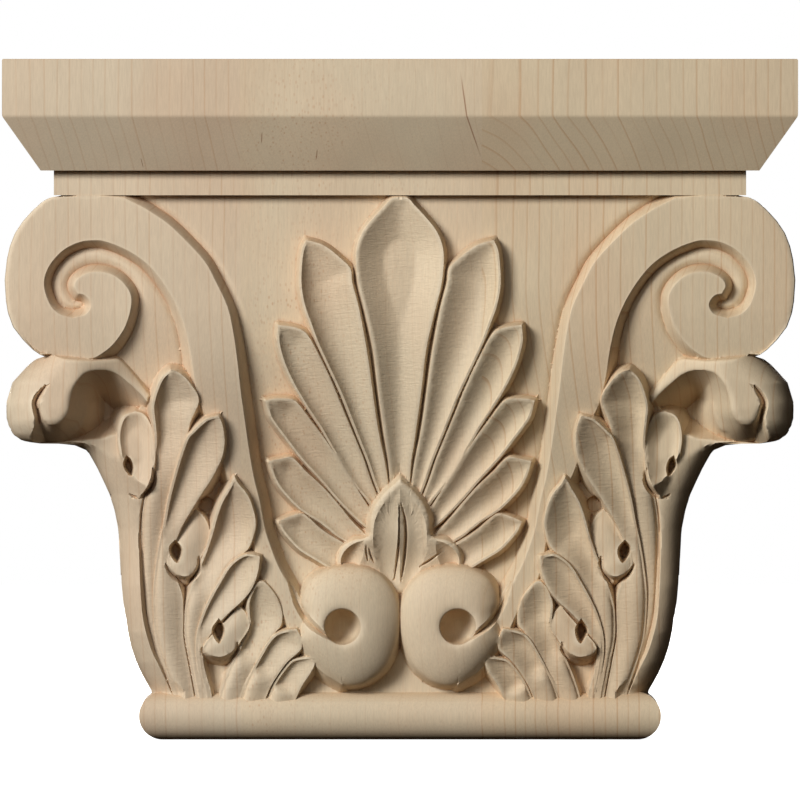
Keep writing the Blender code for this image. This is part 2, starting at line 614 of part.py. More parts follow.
def corner_line(spacing):
    """The plan corner up the capital, in squares."""
    steps = [UNDER_CURL - 0.2, UNDER_CURL + 0.2, UNDER_VOLUTE - 0.2, UNDER_VOLUTE + 0.2,
             VOLUTE_TOP - 0.4, VOLUTE_TOP + 0.4]
    marks = np.array([mark for _, mark in SIDE_OUTLINE[1:-1]])
    rows = np.concatenate([np.arange(SKIN_FOOT, SKIN_TOP, spacing), marks])
    clear = np.all(np.abs(rows[:, None] - np.array(steps)) > 0.6, axis=1)
    rows = np.unique(np.concatenate([rows[clear], steps, [SKIN_FOOT, SKIN_TOP]]).round(2))
    keep = np.concatenate([[True], np.diff(rows) > 0.3])
    rows = rows[keep]
    out = half_width(rows) - (1 - math.sqrt(0.5)) * corner_round(rows) / SQUARE_OUT
    return np.stack([out, rows], axis=1)


def patch(border, lines, spacing):
    """Triangles that fill a border and follow the lines drawn in it."""
    edge = closed(border)
    points = [tuple(point) for point in border]
    links = [(i, (i + 1) % len(border)) for i in range(len(border))]
    kept_lines = [edge]
    for line in lines:
        gap = reach(line[:, 0], line[:, 1], edge)[0]
        held = inside(line[:, 0], line[:, 1], border) & (gap > 1.0)
        for i, point in enumerate(line):
            if held[i]:
                if i and held[i - 1]:
                    links.append((len(points) - 1, len(points)))
                points.append(tuple(point))
        if held.any():
            kept_lines.append(line)
    low, high = border.min(axis=0), border.max(axis=0)
    out, up = np.meshgrid(np.arange(low[0], high[0], spacing),
                          np.arange(low[1], high[1], spacing * 0.866))
    out[::2] += 0.5 * spacing
    out, up = out.ravel(), up.ravel()
    free = inside(out, up, border)
    for line in kept_lines:
        near = window(out, up, [line], spacing) & free
        free[near] = reach(out[near], up[near], line)[0] > 0.6 * spacing
    points += list(zip(out[free], up[free]))
    vectors = [Vector(point) for point in points]
    verts, _, faces, *_ = delaunay_2d_cdt(vectors, links, [], 0, 1e-3, False)
    verts = np.array([tuple(vert) for vert in verts])
    faces = np.array(faces)
    middle = verts[faces].mean(axis=1)
    return verts, faces[inside(middle[:, 0], middle[:, 1], border)]


def front_patch():
    """The front of the right-hand half, in millimetres."""
    corner = corner_line(SKIN_SPACING)
    foot = np.arange(0.0, corner[0, 0] - 2, SKIN_SPACING)
    top = np.arange(corner[-1, 0] - SKIN_SPACING, 2, -SKIN_SPACING)
    centre = np.arange(corner[-1, 1], corner[0, 1] + 2, -SKIN_SPACING)
    border = np.vstack([
        np.stack([foot, np.full(len(foot), corner[0, 1])], axis=1),
        corner,
        np.stack([top, np.full(len(top), corner[-1, 1])], axis=1),
        np.stack([np.zeros(len(centre)), centre], axis=1),
    ])
    verts, faces = patch(border, front_lines(), SKIN_SPACING)
    out, up = verts.T
    inset = (half_width(up) - out) * SQUARE_OUT
    radius = corner_round(up)
    turn = np.clip(radius - inset, 0.0, radius)
    edge = corner_depth(up) - radius + np.sqrt(np.maximum(radius ** 2 - turn ** 2, 0.0))
    depth = np.minimum(carve(out, up), edge + np.maximum(inset - radius, 0.0))
    on_corner = reach(out, up, corner)[0] < 1e-3
    depth = np.where(on_corner, edge, depth)
    z = TORUS_HEIGHT + up * SQUARE_UP
    return verts, np.stack([out * SQUARE_OUT, BACK_Y - depth, z], axis=1), faces


def side_patch():
    """The return of the right-hand half, in millimetres, mirrored about the plan corner."""
    corner = corner_line(SKIN_SPACING)
    rows = corner[::-1, 1]
    wall = half_width(rows) - (corner_depth(rows) + SPARE) / SQUARE_OUT
    border = np.vstack([corner, np.stack([wall, rows], axis=1)])
    verts, faces = patch(border, side_lines(), SKIN_SPACING)
    out, up = verts.T
    drop = (half_width(up) - out) * SQUARE_OUT
    depth = corner_depth(up) - drop
    relief = corner_depth(up) - carve(out, up, palmette=False)
    relief = np.where(up > UNDER_VOLUTE, 0.0, relief)
    radius = corner_round(up)
    turn = np.clip(radius - drop, 0.0, radius)
    rounding = radius - np.sqrt(np.maximum(radius ** 2 - turn ** 2, 0.0))
    on_corner = reach(out, up, corner)[0] < 1e-3
    inset = np.where(on_corner, rounding, np.maximum(relief, rounding))
    z = TORUS_HEIGHT + up * SQUARE_UP
    points = np.stack([half_width(up) * SQUARE_OUT - inset, BACK_Y - depth, z], axis=1)
    return verts, points, faces[:, ::-1]


def new_object(name, mesh, collection, hidden=False):
    """Link a mesh to a collection as an object."""
    obj = bpy.data.objects.new(name, mesh)
    collection.objects.link(obj)
    if hidden:
        obj.hide_render = True
        obj.display_type = "WIRE"
    return obj


def level_ends(plan, height):
    """The points of a patch that lie at one height, from the centre line outwards."""
    level = np.flatnonzero(np.abs(plan[:, 1] - height) < LEVEL)
    return level[np.argsort(plan[level, 0])]


def corner_key(plan, face):
    """The places of a face's points, to know it again in the other patch."""
    return tuple(sorted(map(tuple, plan[face].round(1))))


def corner_faces(patch_parts):
    """Faces whose three points all lie on the plan corner."""
    plan, _, faces = patch_parts
    on_corner = reach(plan[:, 0], plan[:, 1], corner_line(SKIN_SPACING))[0] < LEVEL
    return {corner_key(plan, face) for face in faces[on_corner[faces].all(axis=1)]}


def carved_body(collection):
    """The carved field: skin of one half, closed at the foot, top and back, then mirrored."""
    front, side = front_patch(), side_patch()
    shared = corner_faces(front) & corner_faces(side)
    bm = bmesh.new()
    skins = []
    for plan, points, faces in (front, side):
        verts = [bm.verts.new(point * MM) for point in points]
        skins.append(verts)
        for face in faces:
            at_wall = np.all(np.abs(points[face, 1] - BACK_Y - SPARE) < LEVEL)
            if not at_wall and corner_key(plan, face) not in shared:
                bm.faces.new([verts[i] for i in face])
    back = []
    for height in (SKIN_FOOT, SKIN_TOP):
        across = [skins[0][i] for i in level_ends(front[0], height)]
        along = [skins[1][i] for i in level_ends(side[0], height)[::-1]]
        middle = bm.verts.new((0.0, (BACK_Y + SPARE) * MM, across[0].co.z))
        bm.faces.new(across + along + [middle])
        back.append(middle)
    wall = [vert for vert in skins[1]
            if abs(vert.co.y - (BACK_Y + SPARE) * MM) < LEVEL * MM and vert.link_faces]
    wall.sort(key=lambda vert: vert.co.z)
    bm.faces.new(wall + back[::-1])
    bmesh.ops.remove_doubles(bm, verts=bm.verts, dist=LEVEL * MM)
    bmesh.ops.recalc_face_normals(bm, faces=bm.faces)
    bmesh.ops.triangulate(bm, faces=[face for face in bm.faces if len(face.verts) > 4])
    mesh = bpy.data.meshes.new("capital")
    bm.to_mesh(mesh)
    bm.free()
    body = new_object("capital", mesh, collection)
    mirror = body.modifiers.new("other half", "MIRROR")
    mirror.merge_threshold = 0.00005
    return body


def moulding(name, profile, collection):
    """A moulding that returns round three sides: rectangles stacked up its profile."""
    bm = bmesh.new()
    bmesh.ops.create_grid(bm, x_segments=1, y_segments=1, size=1.0)
    face = bm.faces[:][0]
    for level, (height, half, depth) in enumerate(profile):
        if level:
            grown = bmesh.ops.extrude_face_region(bm, geom=[face])["geom"]
            if level > 1:
                bmesh.ops.delete(bm, geom=[face], context="FACES_ONLY")
            face = next(item for item in grown if isinstance(item, bmesh.types.BMFace))
        for vert in face.verts:
            vert.co.x = math.copysign(half, vert.co.x) * MM
            vert.co.z = height * MM
            front = vert.co.y < (0 if level == 0 else BACK_Y * MM)
            vert.co.y = (BACK_Y - depth if front else BACK_Y + 2 * SPARE) * MM
    bmesh.ops.recalc_face_normals(bm, faces=bm.faces)
    mesh = bpy.data.meshes.new(name)
    bm.to_mesh(mesh)
    bm.free()
    return new_object(name, mesh, collection, hidden=True)


def head_profile():
    """Fillet, soffit, chamfer, eased arris and abacus edge, from the foot up."""
    half, depth = ABACUS_WIDTH / 2, ABACUS_DEPTH
    slope = math.atan2(CHAMFER_RUN, CHAMFER_HEIGHT)
    back_off = ARRIS_ROUND * math.tan(slope / 2)
    arris = SOFFIT + CHAMFER_HEIGHT
    rounds = []
    for share in (0.0, 0.5, 1.0):
        angle = slope * (1.0 - share)
        inset = ARRIS_ROUND * (1.0 - math.cos(angle))
        rise = arris + back_off - ARRIS_ROUND * math.sin(angle)
        rounds.append((rise, half - inset, depth - inset))
    return [
        (FIELD_TOP, FILLET_HALF_WIDTH, FILLET_DEPTH),
        (SOFFIT, FILLET_HALF_WIDTH, FILLET_DEPTH),
        (SOFFIT, half - CHAMFER_RUN, depth - CHAMFER_RUN),
        *rounds,
        (TOP, half, depth),
    ]


def torus_profile(steps=10):
    """Half round, from the flat underside up."""
    radius = TORUS_HEIGHT / 2
    profile = []
    for step in range(steps + 1):
        angle = math.pi * (step / steps - 0.5)
        inset = radius * (1.0 - math.cos(angle))
        height = radius * (1.0 + math.sin(angle))
        profile.append((height, TORUS_HALF_WIDTH - inset, TORUS_DEPTH - inset))
    return profile


def wall_block(collection):
    """The space behind the wall plane."""
    bm = bmesh.new()
    bmesh.ops.create_cube(bm, size=1.0)
    bmesh.ops.scale(bm, vec=Vector((1.2 * ABACUS_WIDTH, 10 * SPARE, 1.2 * TOP)) * MM, verts=bm.verts)
    bmesh.ops.translate(bm, vec=Vector((0.0, BACK_Y + 5 * SPARE, 0.5 * TOP)) * MM, verts=bm.verts)
    mesh = bpy.data.meshes.new("wall")
    bm.to_mesh(mesh)
    bm.free()
    return new_object("wall", mesh, collection, hidden=True)


def maple():
    """Unfinished hard maple, sanded on the flats and tool-cut in the hollows."""
    material = bpy.data.materials.new("maple")
    material.use_nodes = True
    shader = material.node_tree.nodes["Principled BSDF"]
    shader.inputs["Base Color"].default_value = (0.58, 0.44, 0.29, 1.0)
    shader.inputs["Roughness"].default_value = 0.62
    shader.inputs["Metallic"].default_value = 0.0
    return material


def main():
    for obj in list(bpy.data.objects):
        bpy.data.objects.remove(obj, do_unlink=True)
    part = bpy.data.collections.new("pilaster capital")
    cutters = bpy.data.collections.new("joined shapes")
    for collection in (part, cutters):
        bpy.context.scene.collection.children.link(collection)
    body = carved_body(part)
    for name, profile in (("head", head_profile()), ("torus", torus_profile())):
        join = body.modifiers.new("join the " + name, "BOOLEAN")
        join.operation = "UNION"
        join.object = moulding(name, profile, cutters)
    cut = body.modifiers.new("flat back", "BOOLEAN")
    cut.operation = "DIFFERENCE"
    cut.object = wall_block(cutters)
    body.data.materials.append(maple())


main()
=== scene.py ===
# %% [markdown]
# This lesson dresses a carved pilaster capital. On the real object one blank, glued up from
# three maple boards, is carved all over its front and sides: a plain abacus with a chamfer, a
# fillet, two corner volutes, a palmette between them, acanthus leaves at the corners and a
# half-round torus at the foot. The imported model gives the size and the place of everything.

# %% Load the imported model
import json
import math

import bmesh
import bpy
import numpy as np
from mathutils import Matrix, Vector
from mathutils.geometry import delaunay_2d_cdt

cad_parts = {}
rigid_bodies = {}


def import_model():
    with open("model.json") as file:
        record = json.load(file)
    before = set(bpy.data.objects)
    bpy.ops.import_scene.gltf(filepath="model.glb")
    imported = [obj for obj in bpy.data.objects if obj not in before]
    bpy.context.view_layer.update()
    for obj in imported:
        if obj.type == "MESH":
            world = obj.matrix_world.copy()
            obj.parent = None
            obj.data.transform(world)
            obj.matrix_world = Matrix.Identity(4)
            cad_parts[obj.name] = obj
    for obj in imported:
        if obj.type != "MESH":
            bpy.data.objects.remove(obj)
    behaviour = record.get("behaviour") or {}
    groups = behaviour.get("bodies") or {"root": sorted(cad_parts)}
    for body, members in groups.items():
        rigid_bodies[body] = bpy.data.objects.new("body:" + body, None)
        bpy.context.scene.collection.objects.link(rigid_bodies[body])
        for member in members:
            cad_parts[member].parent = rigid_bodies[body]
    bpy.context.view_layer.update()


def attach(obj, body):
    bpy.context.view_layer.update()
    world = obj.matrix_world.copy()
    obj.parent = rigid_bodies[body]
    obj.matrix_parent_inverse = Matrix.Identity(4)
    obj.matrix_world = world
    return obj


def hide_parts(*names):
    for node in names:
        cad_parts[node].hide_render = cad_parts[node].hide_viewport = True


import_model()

# %% [markdown]
# A relief this busy could be sculpted by hand, displaced from a painted picture or cut with
# many small solids. Here it is carved by rule: one function gives the depth of the face at any
# point of the front, and every leaf is a line pair that raises or dishes it. That keeps each
# edge as crisp as a gouge leaves it, and the whole carving can be changed by its sizes. These
# are the capital's own sizes in millimetres.

# %% Sizes of the capital
MM = 0.001
TINY = 1e-9
ABACUS_WIDTH, ABACUS_DEPTH, ABACUS_EDGE = 286.6, 95.0, 20.6
CHAMFER_HEIGHT, CHAMFER_RUN, ARRIS_ROUND = 19.6, 13.7, 2.5
FILLET_HEIGHT, FILLET_SET_BACK = 8.9, 4.7
FIELD_HEIGHT = 180.0
TORUS_HEIGHT, TORUS_HALF_WIDTH, TORUS_DEPTH = 17.3, 94.5, 51.0
VOLUTE_PROUD, PANEL_RECESS = 0.4, 4.6
BELL_FOOT_DEPTH, BELL_WAIST_DEPTH = 44.0, 46.5
PETAL_LIFT, PETAL_HOLLOW = 6.0, 0.26
BAND_LIFT, SCROLL_LIFT, BUD_LIFT, LOBE_LIFT, CURL_REACH = 8.0, 13.5, 9.0, 12.0, 3.4
GROOVE_DEPTH = 3.5
LEAF_ROUND, CURL_ROUND, VOLUTE_ROUND = 10.0, 14.0, 1.2
FILLET_HALF_WIDTH = ABACUS_WIDTH / 2 - CHAMFER_RUN - FILLET_SET_BACK
FILLET_DEPTH = ABACUS_DEPTH - CHAMFER_RUN - FILLET_SET_BACK
FIELD_TOP = TORUS_HEIGHT + FIELD_HEIGHT
SOFFIT = FIELD_TOP + FILLET_HEIGHT
TOP = SOFFIT + CHAMFER_HEIGHT + ABACUS_EDGE
VOLUTE_DEPTH = FILLET_DEPTH + VOLUTE_PROUD
PANEL_DEPTH = FILLET_DEPTH - PANEL_RECESS
CURL_DEPTH = FILLET_DEPTH + CURL_REACH
BACK_Y = ABACUS_DEPTH / 2
print("field from", TORUS_HEIGHT, "to", FIELD_TOP, "mm, top at", TOP, "mm")

# %% [markdown]
# A carver sets a design out on a squared drawing. So does this lesson: 500 squares fill the
# height of the carved field, and a point is written (squares out from the centre line, squares
# up from the top of the torus). A square is about 0.36 mm.

# %% The setting-out grid
SQUARE_UP = FIELD_HEIGHT / 500
SQUARE_OUT = ABACUS_WIDTH / 2 / 398
SQUARE = 0.5 * (SQUARE_UP + SQUARE_OUT)
WALL = 4.0 * SQUARE
SLOPE = 2.4 * SQUARE
RIM = 2.0
STEM_CROWN = 0.7
print("one square is", round(SQUARE, 3), "mm")

# %% [markdown]
# The drawing comes first. The outline is what shows from the front, from the foot up to the
# fillet: a waisted leaf, the curled leaf tip that juts out, the round of the volute. At the
# plan corner one list says how many millimetres the leaf stands out from the bell, the other how
# much of the way the curl stands from there to its full depth.

# %% Outline and corners
UNDER_CURL, UNDER_VOLUTE, VOLUTE_TOP = 250.4, 340.0, 499.2
SIDE_OUTLINE = [
    (250, 0), (259, 16), (266, 30), (271, 44), (275, 61), (279, 87), (281, 108), (282, 133),
    (283.5, 164), (287, 182), (292, 199), (298.5, 213), (304, 225), (309, 234), (313, 241),
    (318, 246), (324, 249.2), (330, 250.2), (372, 250.6), (382, 252), (388, 255), (392, 260),
    (395, 271), (395, 292),
    (389, 312), (375, 327.5), (361, 340), (368, 345), (378, 355), (388, 368), (393, 382),
    (395, 394), (396.3, 415), (394, 436), (391, 449), (386, 462), (378, 474), (368, 485),
    (358, 494), (350, 498), (340, 499.6), (340, 520),
]
BODY_CORNER = [(2.5, 0), (4.9, 16), (6.6, 30), (8.8, 60), (9.1, 108), (7.8, 164), (7.0, 202),
               (6.8, 225), (6.3, 241), (5.7, 250.2)]
CURL_CORNER = [(0.3, 250.6), (0.54, 252.6), (0.67, 255.7), (0.8, 260.8), (0.9, 267.6),
               (0.965, 274.4), (1.0, 286), (0.98, 312), (0.94, 327), (0.9, 340)]
print(len(SIDE_OUTLINE), "points in the outline")

# %% [markdown]
# A few small tools do all the setting out. `drawn` runs a smooth line through a few points, as
# a carver springs a batten. `reach` measures how far a point is from a line, `middle_line` is
# the spine of a leaf, `inside` tells which points an outline holds, and `window` keeps the work
# to the points near a shape.

# %% Drawing tools
def smoothstep(value, low, high):
    """Ease from 0 at low to 1 at high."""
    share = np.clip((value - low) / (high - low), 0.0, 1.0)
    return share * share * (3.0 - 2.0 * share)


LINE_STEPS, SPINE_STEPS = 4, 16


def drawn(points):
    """A smooth line through the given points."""
    line = np.array(points, float)
    padded = np.vstack([2 * line[0] - line[1], line, 2 * line[-1] - line[-2]])
    share = (np.arange(LINE_STEPS) / LINE_STEPS)[:, None]
    spans = []
    for p0, p1, p2, p3 in zip(padded, padded[1:], padded[2:], padded[3:]):
        spans.append(0.5 * (2 * p1 + (p2 - p0) * share
                            + (2 * p0 - 5 * p1 + 4 * p2 - p3) * share ** 2
                            + (3 * p1 - p0 - 3 * p2 + p3) * share ** 3))
    return np.vstack(spans + [line[-1:]])


def reach(out, up, line):
    """Distance from each point to a line, and how far along the line its nearest place is."""
    lengths = np.hypot(*np.diff(line, axis=0).T)
    marks = np.concatenate([[0.0], np.cumsum(lengths)]) / lengths.sum()
    best = np.full(out.shape, np.inf)
    along = np.zeros(out.shape)
    for (x0, y0), (x1, y1), m0, m1 in zip(line, line[1:], marks, marks[1:]):
        dx, dy = x1 - x0, y1 - y0
        share = np.clip(((out - x0) * dx + (up - y0) * dy) / (dx * dx + dy * dy + TINY), 0.0, 1.0)
        gap = np.hypot(out - x0 - share * dx, up - y0 - share * dy)
        closer = gap < best
        best = np.where(closer, gap, best)
        along = np.where(closer, m0 + share * (m1 - m0), along)
    return best, along


def middle_line(edges):
    """The line half-way between the two edges of a leaf."""
    marks = [np.concatenate([[0.0], np.cumsum(np.hypot(*np.diff(edge, axis=0).T))])
             for edge in edges]
    share = np.linspace(0.0, 1.0, SPINE_STEPS + 1)
    return 0.5 * sum(np.stack([np.interp(share * mark[-1], mark, edge[:, axis])
                               for axis in (0, 1)], axis=1) for edge, mark in zip(edges, marks))


def closed(ring):
    """An outline with its first point repeated at the end."""
    return np.vstack([ring, ring[:1]])


def inside(out, up, ring):
    """Which points lie within a closed outline."""
    hit = np.zeros(out.shape, bool)
    for (x0, y0), (x1, y1) in zip(ring, np.roll(ring, -1, axis=0)):
        if y0 != y1:
            crosses = (y0 > up) != (y1 > up)
            hit ^= crosses & (out < (x1 - x0) * (up - y0) / (y1 - y0) + x0)
    return hit


def window(out, up, lines, margin):
    """The points close enough to some lines to be shaped by them."""
    every = np.vstack(lines)
    low, high = every.min(axis=0) - margin, every.max(axis=0) + margin
    return (out > low[0]) & (out < high[0]) & (up > low[1]) & (up < high[1])


print("a test line of", len(drawn([(0, 0), (5, 2), (9, 0)])), "points")

# %% [markdown]
# Behind the carving stands the plain bell: nearly upright at the foot, then swelling forward in
# an S up to the flat panel between the volutes. Everything else is measured out from it.

# %% The bell and the plan corner
WAIST, FLARE_SPAN = 125, (118, 412)


def bell(up):
    """Depth of the plain bell behind the carving."""
    foot = smoothstep(up, 0, WAIST) * (BELL_WAIST_DEPTH - BELL_FOOT_DEPTH)
    flare = smoothstep(up, *FLARE_SPAN) * (PANEL_DEPTH - BELL_WAIST_DEPTH)
    return BELL_FOOT_DEPTH + foot + flare


def half_width(up):
    """Squares from the centre line to the outline at each height."""
    outline = np.array(SIDE_OUTLINE)
    return np.interp(up, outline[:, 1], outline[:, 0])


def corner_depth(up):
    """Distance from the wall to the front at the plan corner."""
    body, curl = np.array(BODY_CORNER), np.array(CURL_CORNER)
    leaf_up = np.minimum(up, UNDER_CURL)
    leaf = bell(leaf_up) + np.interp(leaf_up, body[:, 1], body[:, 0])
    curled = leaf + (CURL_DEPTH - leaf) * np.interp(up, curl[:, 1], curl[:, 0])
    depth = np.where(up > UNDER_CURL, curled, leaf)
    depth = np.where(up > UNDER_VOLUTE, VOLUTE_DEPTH, depth)
    return np.where(up > VOLUTE_TOP, PANEL_DEPTH, depth)


def corner_round(up):
    """Radius of the plan corner: the leaf, the curled tip, then the volute."""
    radius = np.where(up > UNDER_CURL, CURL_ROUND, LEAF_ROUND)
    return np.where(up > UNDER_VOLUTE, VOLUTE_ROUND, radius)


print("bell depth at foot, waist and panel:", [round(float(bell(np.array(v))), 1)
                                               for v in (0, WAIST, 450)])

# %% [markdown]
# Two moves make nearly all of the ornament. A scoop is a leaf between two edges: a gouge run
# down it leaves a dished face with a thin rim each side and steep walls outside. A pillow is a
# raised shape with its edge rounded over. Three more cut in: a dish, a pocket and a V groove.
# A dish is a little deeper towards one edge, as a gouge held aslant leaves it, and the dish of
# an acanthus lobe turns into a crowned stem where the blade ends.

# %% Carving tools
WALL_REACH, SLOPE_REACH = 10, 26
PETAL_LEAN, LOBE_LEAN = 0.8, 0.62
BLADE_BEFORE, BLADE_AFTER = 0.08, 0.12


def raise_scoop(face, out, up, outer, inner, lift, lean, hollow, blade=None):
    """Add a leaf between two edges, dished across, with sloping walls outside them."""
    edges = [drawn(outer), drawn(inner)]
    near = window(out, up, edges, WALL_REACH)
    a, b = out[near], up[near]
    gap_out, gap_in = (reach(a, b, edge)[0] for edge in edges)
    across = gap_out / (gap_out + gap_in + TINY)
    along = reach(a, b, middle_line(edges))[1]
    within = inside(a, b, np.vstack([edges[0], edges[1][::-1]]))
    rim = bell(b) + lift[0] + (lift[1] - lift[0]) * along + lean * (across - 0.5)
    span = np.maximum(gap_out + gap_in - 2 * RIM, 0.0)
    share = np.clip((gap_out - RIM) / (span + TINY), 0.0, 1.0)
    skew = PETAL_LEAN if blade is None else LOBE_LEAN
    dish = hollow * SQUARE * span * np.sin(math.pi * share ** skew)
    if blade is not None:
        stem = smoothstep(along, blade - BLADE_BEFORE, blade + BLADE_AFTER)
        dish *= 1.0 - (1.0 + STEM_CROWN) * stem
    shape = np.where(within, rim - dish, rim - WALL * np.minimum(gap_out, gap_in))
    face[near] = np.maximum(face[near], shape)


def sink_scoop(face, out, up, outer, inner, hollow):
    """Dish what is there already between two edges."""
    edges = [drawn(outer), drawn(inner)]
    near = window(out, up, edges, 1)
    a, b = out[near], up[near]
    gaps = [reach(a, b, edge)[0] for edge in edges]
    span = sum(gaps)
    share = gaps[0] / (span + TINY)
    dish = hollow * SQUARE * span * np.sin(math.pi * share ** PETAL_LEAN)
    within = inside(a, b, np.vstack([edges[0], edges[1][::-1]]))
    face[near] -= np.where(within, dish, 0.0)


def raise_pillow(face, out, up, ring, top, radius):
    """Add a raised shape whose edge is rounded over, with sloping walls below the round."""
    near = window(out, up, [ring], SLOPE_REACH)
    a, b = out[near], up[near]
    radius = radius(a, b) if callable(radius) else radius
    gap = reach(a, b, closed(ring))[0]
    fall = np.maximum(radius - gap * SQUARE, 0.0)
    round_over = radius - np.sqrt(radius ** 2 - fall ** 2)
    level = top(a, b)
    shape = np.where(inside(a, b, ring), level - round_over, level - radius - SLOPE * gap)
    face[near] = np.maximum(face[near], shape)


def cut_pocket(face, out, up, ring, floor, steep):
    """Sink a shape inside a closed outline."""
    near = window(out, up, [ring], 1)
    a, b = out[near], up[near]
    gap = reach(a, b, closed(ring))[0]
    sunk = np.maximum(floor, face[near] - steep * gap)
    face[near] = np.where(inside(a, b, ring), np.minimum(face[near], sunk), face[near])


def cut_groove(face, out, up, points, width, depth):
    """Cut a V groove that runs out to a point at both ends."""
    line = drawn(points)
    near = window(out, up, [line], width)
    gap, along = reach(out[near], up[near], line)
    fade = np.sqrt(np.clip(np.sin(math.pi * along), 0.0, 1.0))
    face[near] -= depth * np.clip(fade - gap / width, 0.0, 1.0)


print("wall slope:", round(WALL, 2), "mm for each square")

# %% [markdown]
# The palmette is the fan in the middle: a tall centre petal and five more each side, each one
# drawn tip first as an upper and a lower edge. Their edges meet in thin ridges, which catch the
# light, and their hollows hold the shade.

# %% Palmette
PETALS = [
    ([(0, 498), (8, 497), (15.5, 489), (24, 480), (34, 468), (40, 457), (43.5, 444), (43.5, 427),
      (41, 408), (37, 392), (33, 376), (26, 344), (21.5, 305), (15, 257), (10.5, 225), (9, 180)],
     None),
    ([(94, 455), (82, 452), (72, 447), (61, 438), (50, 427), (48, 413), (44.5, 400), (41, 386),
      (36.5, 363), (31.5, 333), (27.5, 303), (22, 265), (14, 225), (8, 180)],
     [(94, 455), (98.5, 444), (100.5, 425), (100.5, 408), (97, 389), (91, 372), (84, 353),
      (74, 331), (60, 301), (50, 276), (41, 253), (33, 233), (26, 212), (14, 180)]),
    ([(122, 370), (108, 368), (97, 364), (90, 356), (82, 341), (75, 327), (66, 307), (56, 282),
      (46, 258), (37, 236), (28, 210), (14, 175)],
     [(122, 370), (123, 355), (120.5, 342), (115.5, 327), (108, 311), (100, 297), (92, 284),
      (80, 266), (71, 250), (62, 235), (53, 219), (42, 204), (33, 193), (18, 170)]),
    ([(135, 294), (124, 296), (108, 295), (99, 287), (88, 272), (76, 256), (65, 240), (54, 222),
      (42, 203), (30, 184), (16, 165)],
     [(135, 294), (131, 278), (124, 267), (115, 255), (106, 243), (98, 233), (88, 222),
      (77, 210), (67, 198), (56, 186), (46, 176), (37, 168), (20, 155)]),
    ([(132, 233), (121, 235), (110, 237), (102, 231), (95, 223), (84, 213), (73, 202), (61, 188),
      (48, 172), (36, 160), (20, 145)],
     [(132, 233), (128, 219), (122, 207), (113, 196), (102, 185), (92, 178), (81, 171),
      (72, 164), (62, 156), (44, 146), (22, 134)]),
    ([(122.5, 172), (111, 177), (99, 180), (91, 175), (80, 165), (70, 158), (58, 151), (44, 142),
      (24, 130)],
     [(122.5, 172), (118, 162), (110, 152), (101, 143), (90, 136), (80, 130), (70, 124),
      (52, 117), (26, 110)]),
]
PETAL_FOOT_LIFT = 0.7 * PETAL_LIFT


def palmette_pairs():
    """Lower and upper edge of each petal; the centre one has its mirror image for an edge."""
    return [([(-x, y) for x, y in upper] if lower is None else lower, upper)
            for upper, lower in PETALS]


def raise_palmette(face, out, up):
    """Every petal, the outermost first."""
    for lower, upper in palmette_pairs()[::-1]:
        raise_scoop(face, out, up, lower, upper, (PETAL_LIFT, PETAL_FOOT_LIFT), 0.0,
                    PETAL_HOLLOW)


print(2 * len(PETALS) - 1, "petals")

# %% [markdown]
# Each volute is one broad band. It leaves the foot scroll, climbs beside the panel and rolls
# over into a disc whose coil ends in a small eye. Its face is flat, flush with the fillet above
# and following the bell lower down, so it only needs an outline and steep walls. A gouge run
# along the wall leaves a cove in the ground beside it, which keeps the band's edge in shade.

# %% Volute band and its disc
BAND_PANEL_SIDE = [
    (60, 44), (66, 51), (79, 59), (88, 68), (97, 82), (105, 96), (114, 113), (122, 128),
    (129, 146), (135, 165), (140, 192), (146, 217), (151, 246), (155, 275), (159, 304),
    (162, 332), (166, 361), (172, 388), (184, 414), (195, 434), (214, 455), (232, 472),
    (248, 483), (256, 488), (268, 494), (276, 498),
]
DISC_CORNER = [(300, 500), (345, 500), (420, 500), (420, 340)]
DISC_COIL = [
    (362, 340), (348, 337.5), (328, 335), (308, 336), (298, 341), (288, 349), (278, 362),
    (272, 375), (268.5, 391), (270, 403), (278, 414), (288, 421), (300, 424), (312, 423),
    (323, 417), (327, 409), (323, 401),
]
COIL_END = [(323, 401), (316, 399), (311, 393), (311, 387), (316, 381), (328, 377.5)]
BAND_INSIDE = [
    (328, 377.5), (340, 381), (349, 389), (354.5, 402), (356, 412), (354, 422), (348, 433),
    (338, 443.5), (328, 449.5), (318, 453), (308, 454), (298, 453.5), (283, 448.5), (268, 441),
    (252, 429), (238, 412), (226, 392), (217, 370), (211, 344), (207, 317), (203, 300),
    (198, 285), (191, 272), (184, 255), (180, 236), (172, 215), (163, 205), (155, 190),
    (150, 174), (148, 155), (144, 132), (138, 112), (125, 95), (118, 80), (112, 66), (104, 54),
    (98, 42), (88, 30), (75, 18), (58, 8),
]
BAND_EASE = 0.35
BAND_FALL, BAND_FALL_SPAN = 3.0, (300, 420)
BAND_COVE_DEPTH, BAND_COVE_REACH, BAND_COVE_BEND, BAND_COVE_SPAN = 4.0, 13.0, 1.5, (150, 260)


def band_ring():
    """Closed outline of the volute band with its disc."""
    parts = [drawn(BAND_PANEL_SIDE), np.array(DISC_CORNER, float), drawn(DISC_COIL),
             drawn(COIL_END)[1:], drawn(BAND_INSIDE)[1:]]
    return np.vstack(parts)


def band_top(out, up):
    """Face of the volute band: flush with the disc above, following the bell below."""
    low = bell(up) + BAND_LIFT - BAND_FALL * smoothstep(up, *BAND_FALL_SPAN)
    return np.minimum(low, VOLUTE_DEPTH)


def sink_cove(face, out, up):
    """Hollow the ground close beside the band, fading out towards the foot."""
    ring = band_ring()
    near = window(out, up, [ring], BAND_COVE_REACH)
    gap = reach(out[near], up[near], closed(ring))[0]
    share = np.clip(1.0 - gap / BAND_COVE_REACH, 0.0, 1.0)
    cove = share ** BAND_COVE_BEND * smoothstep(up[near], *BAND_COVE_SPAN)
    face[near] -= BAND_COVE_DEPTH * cove


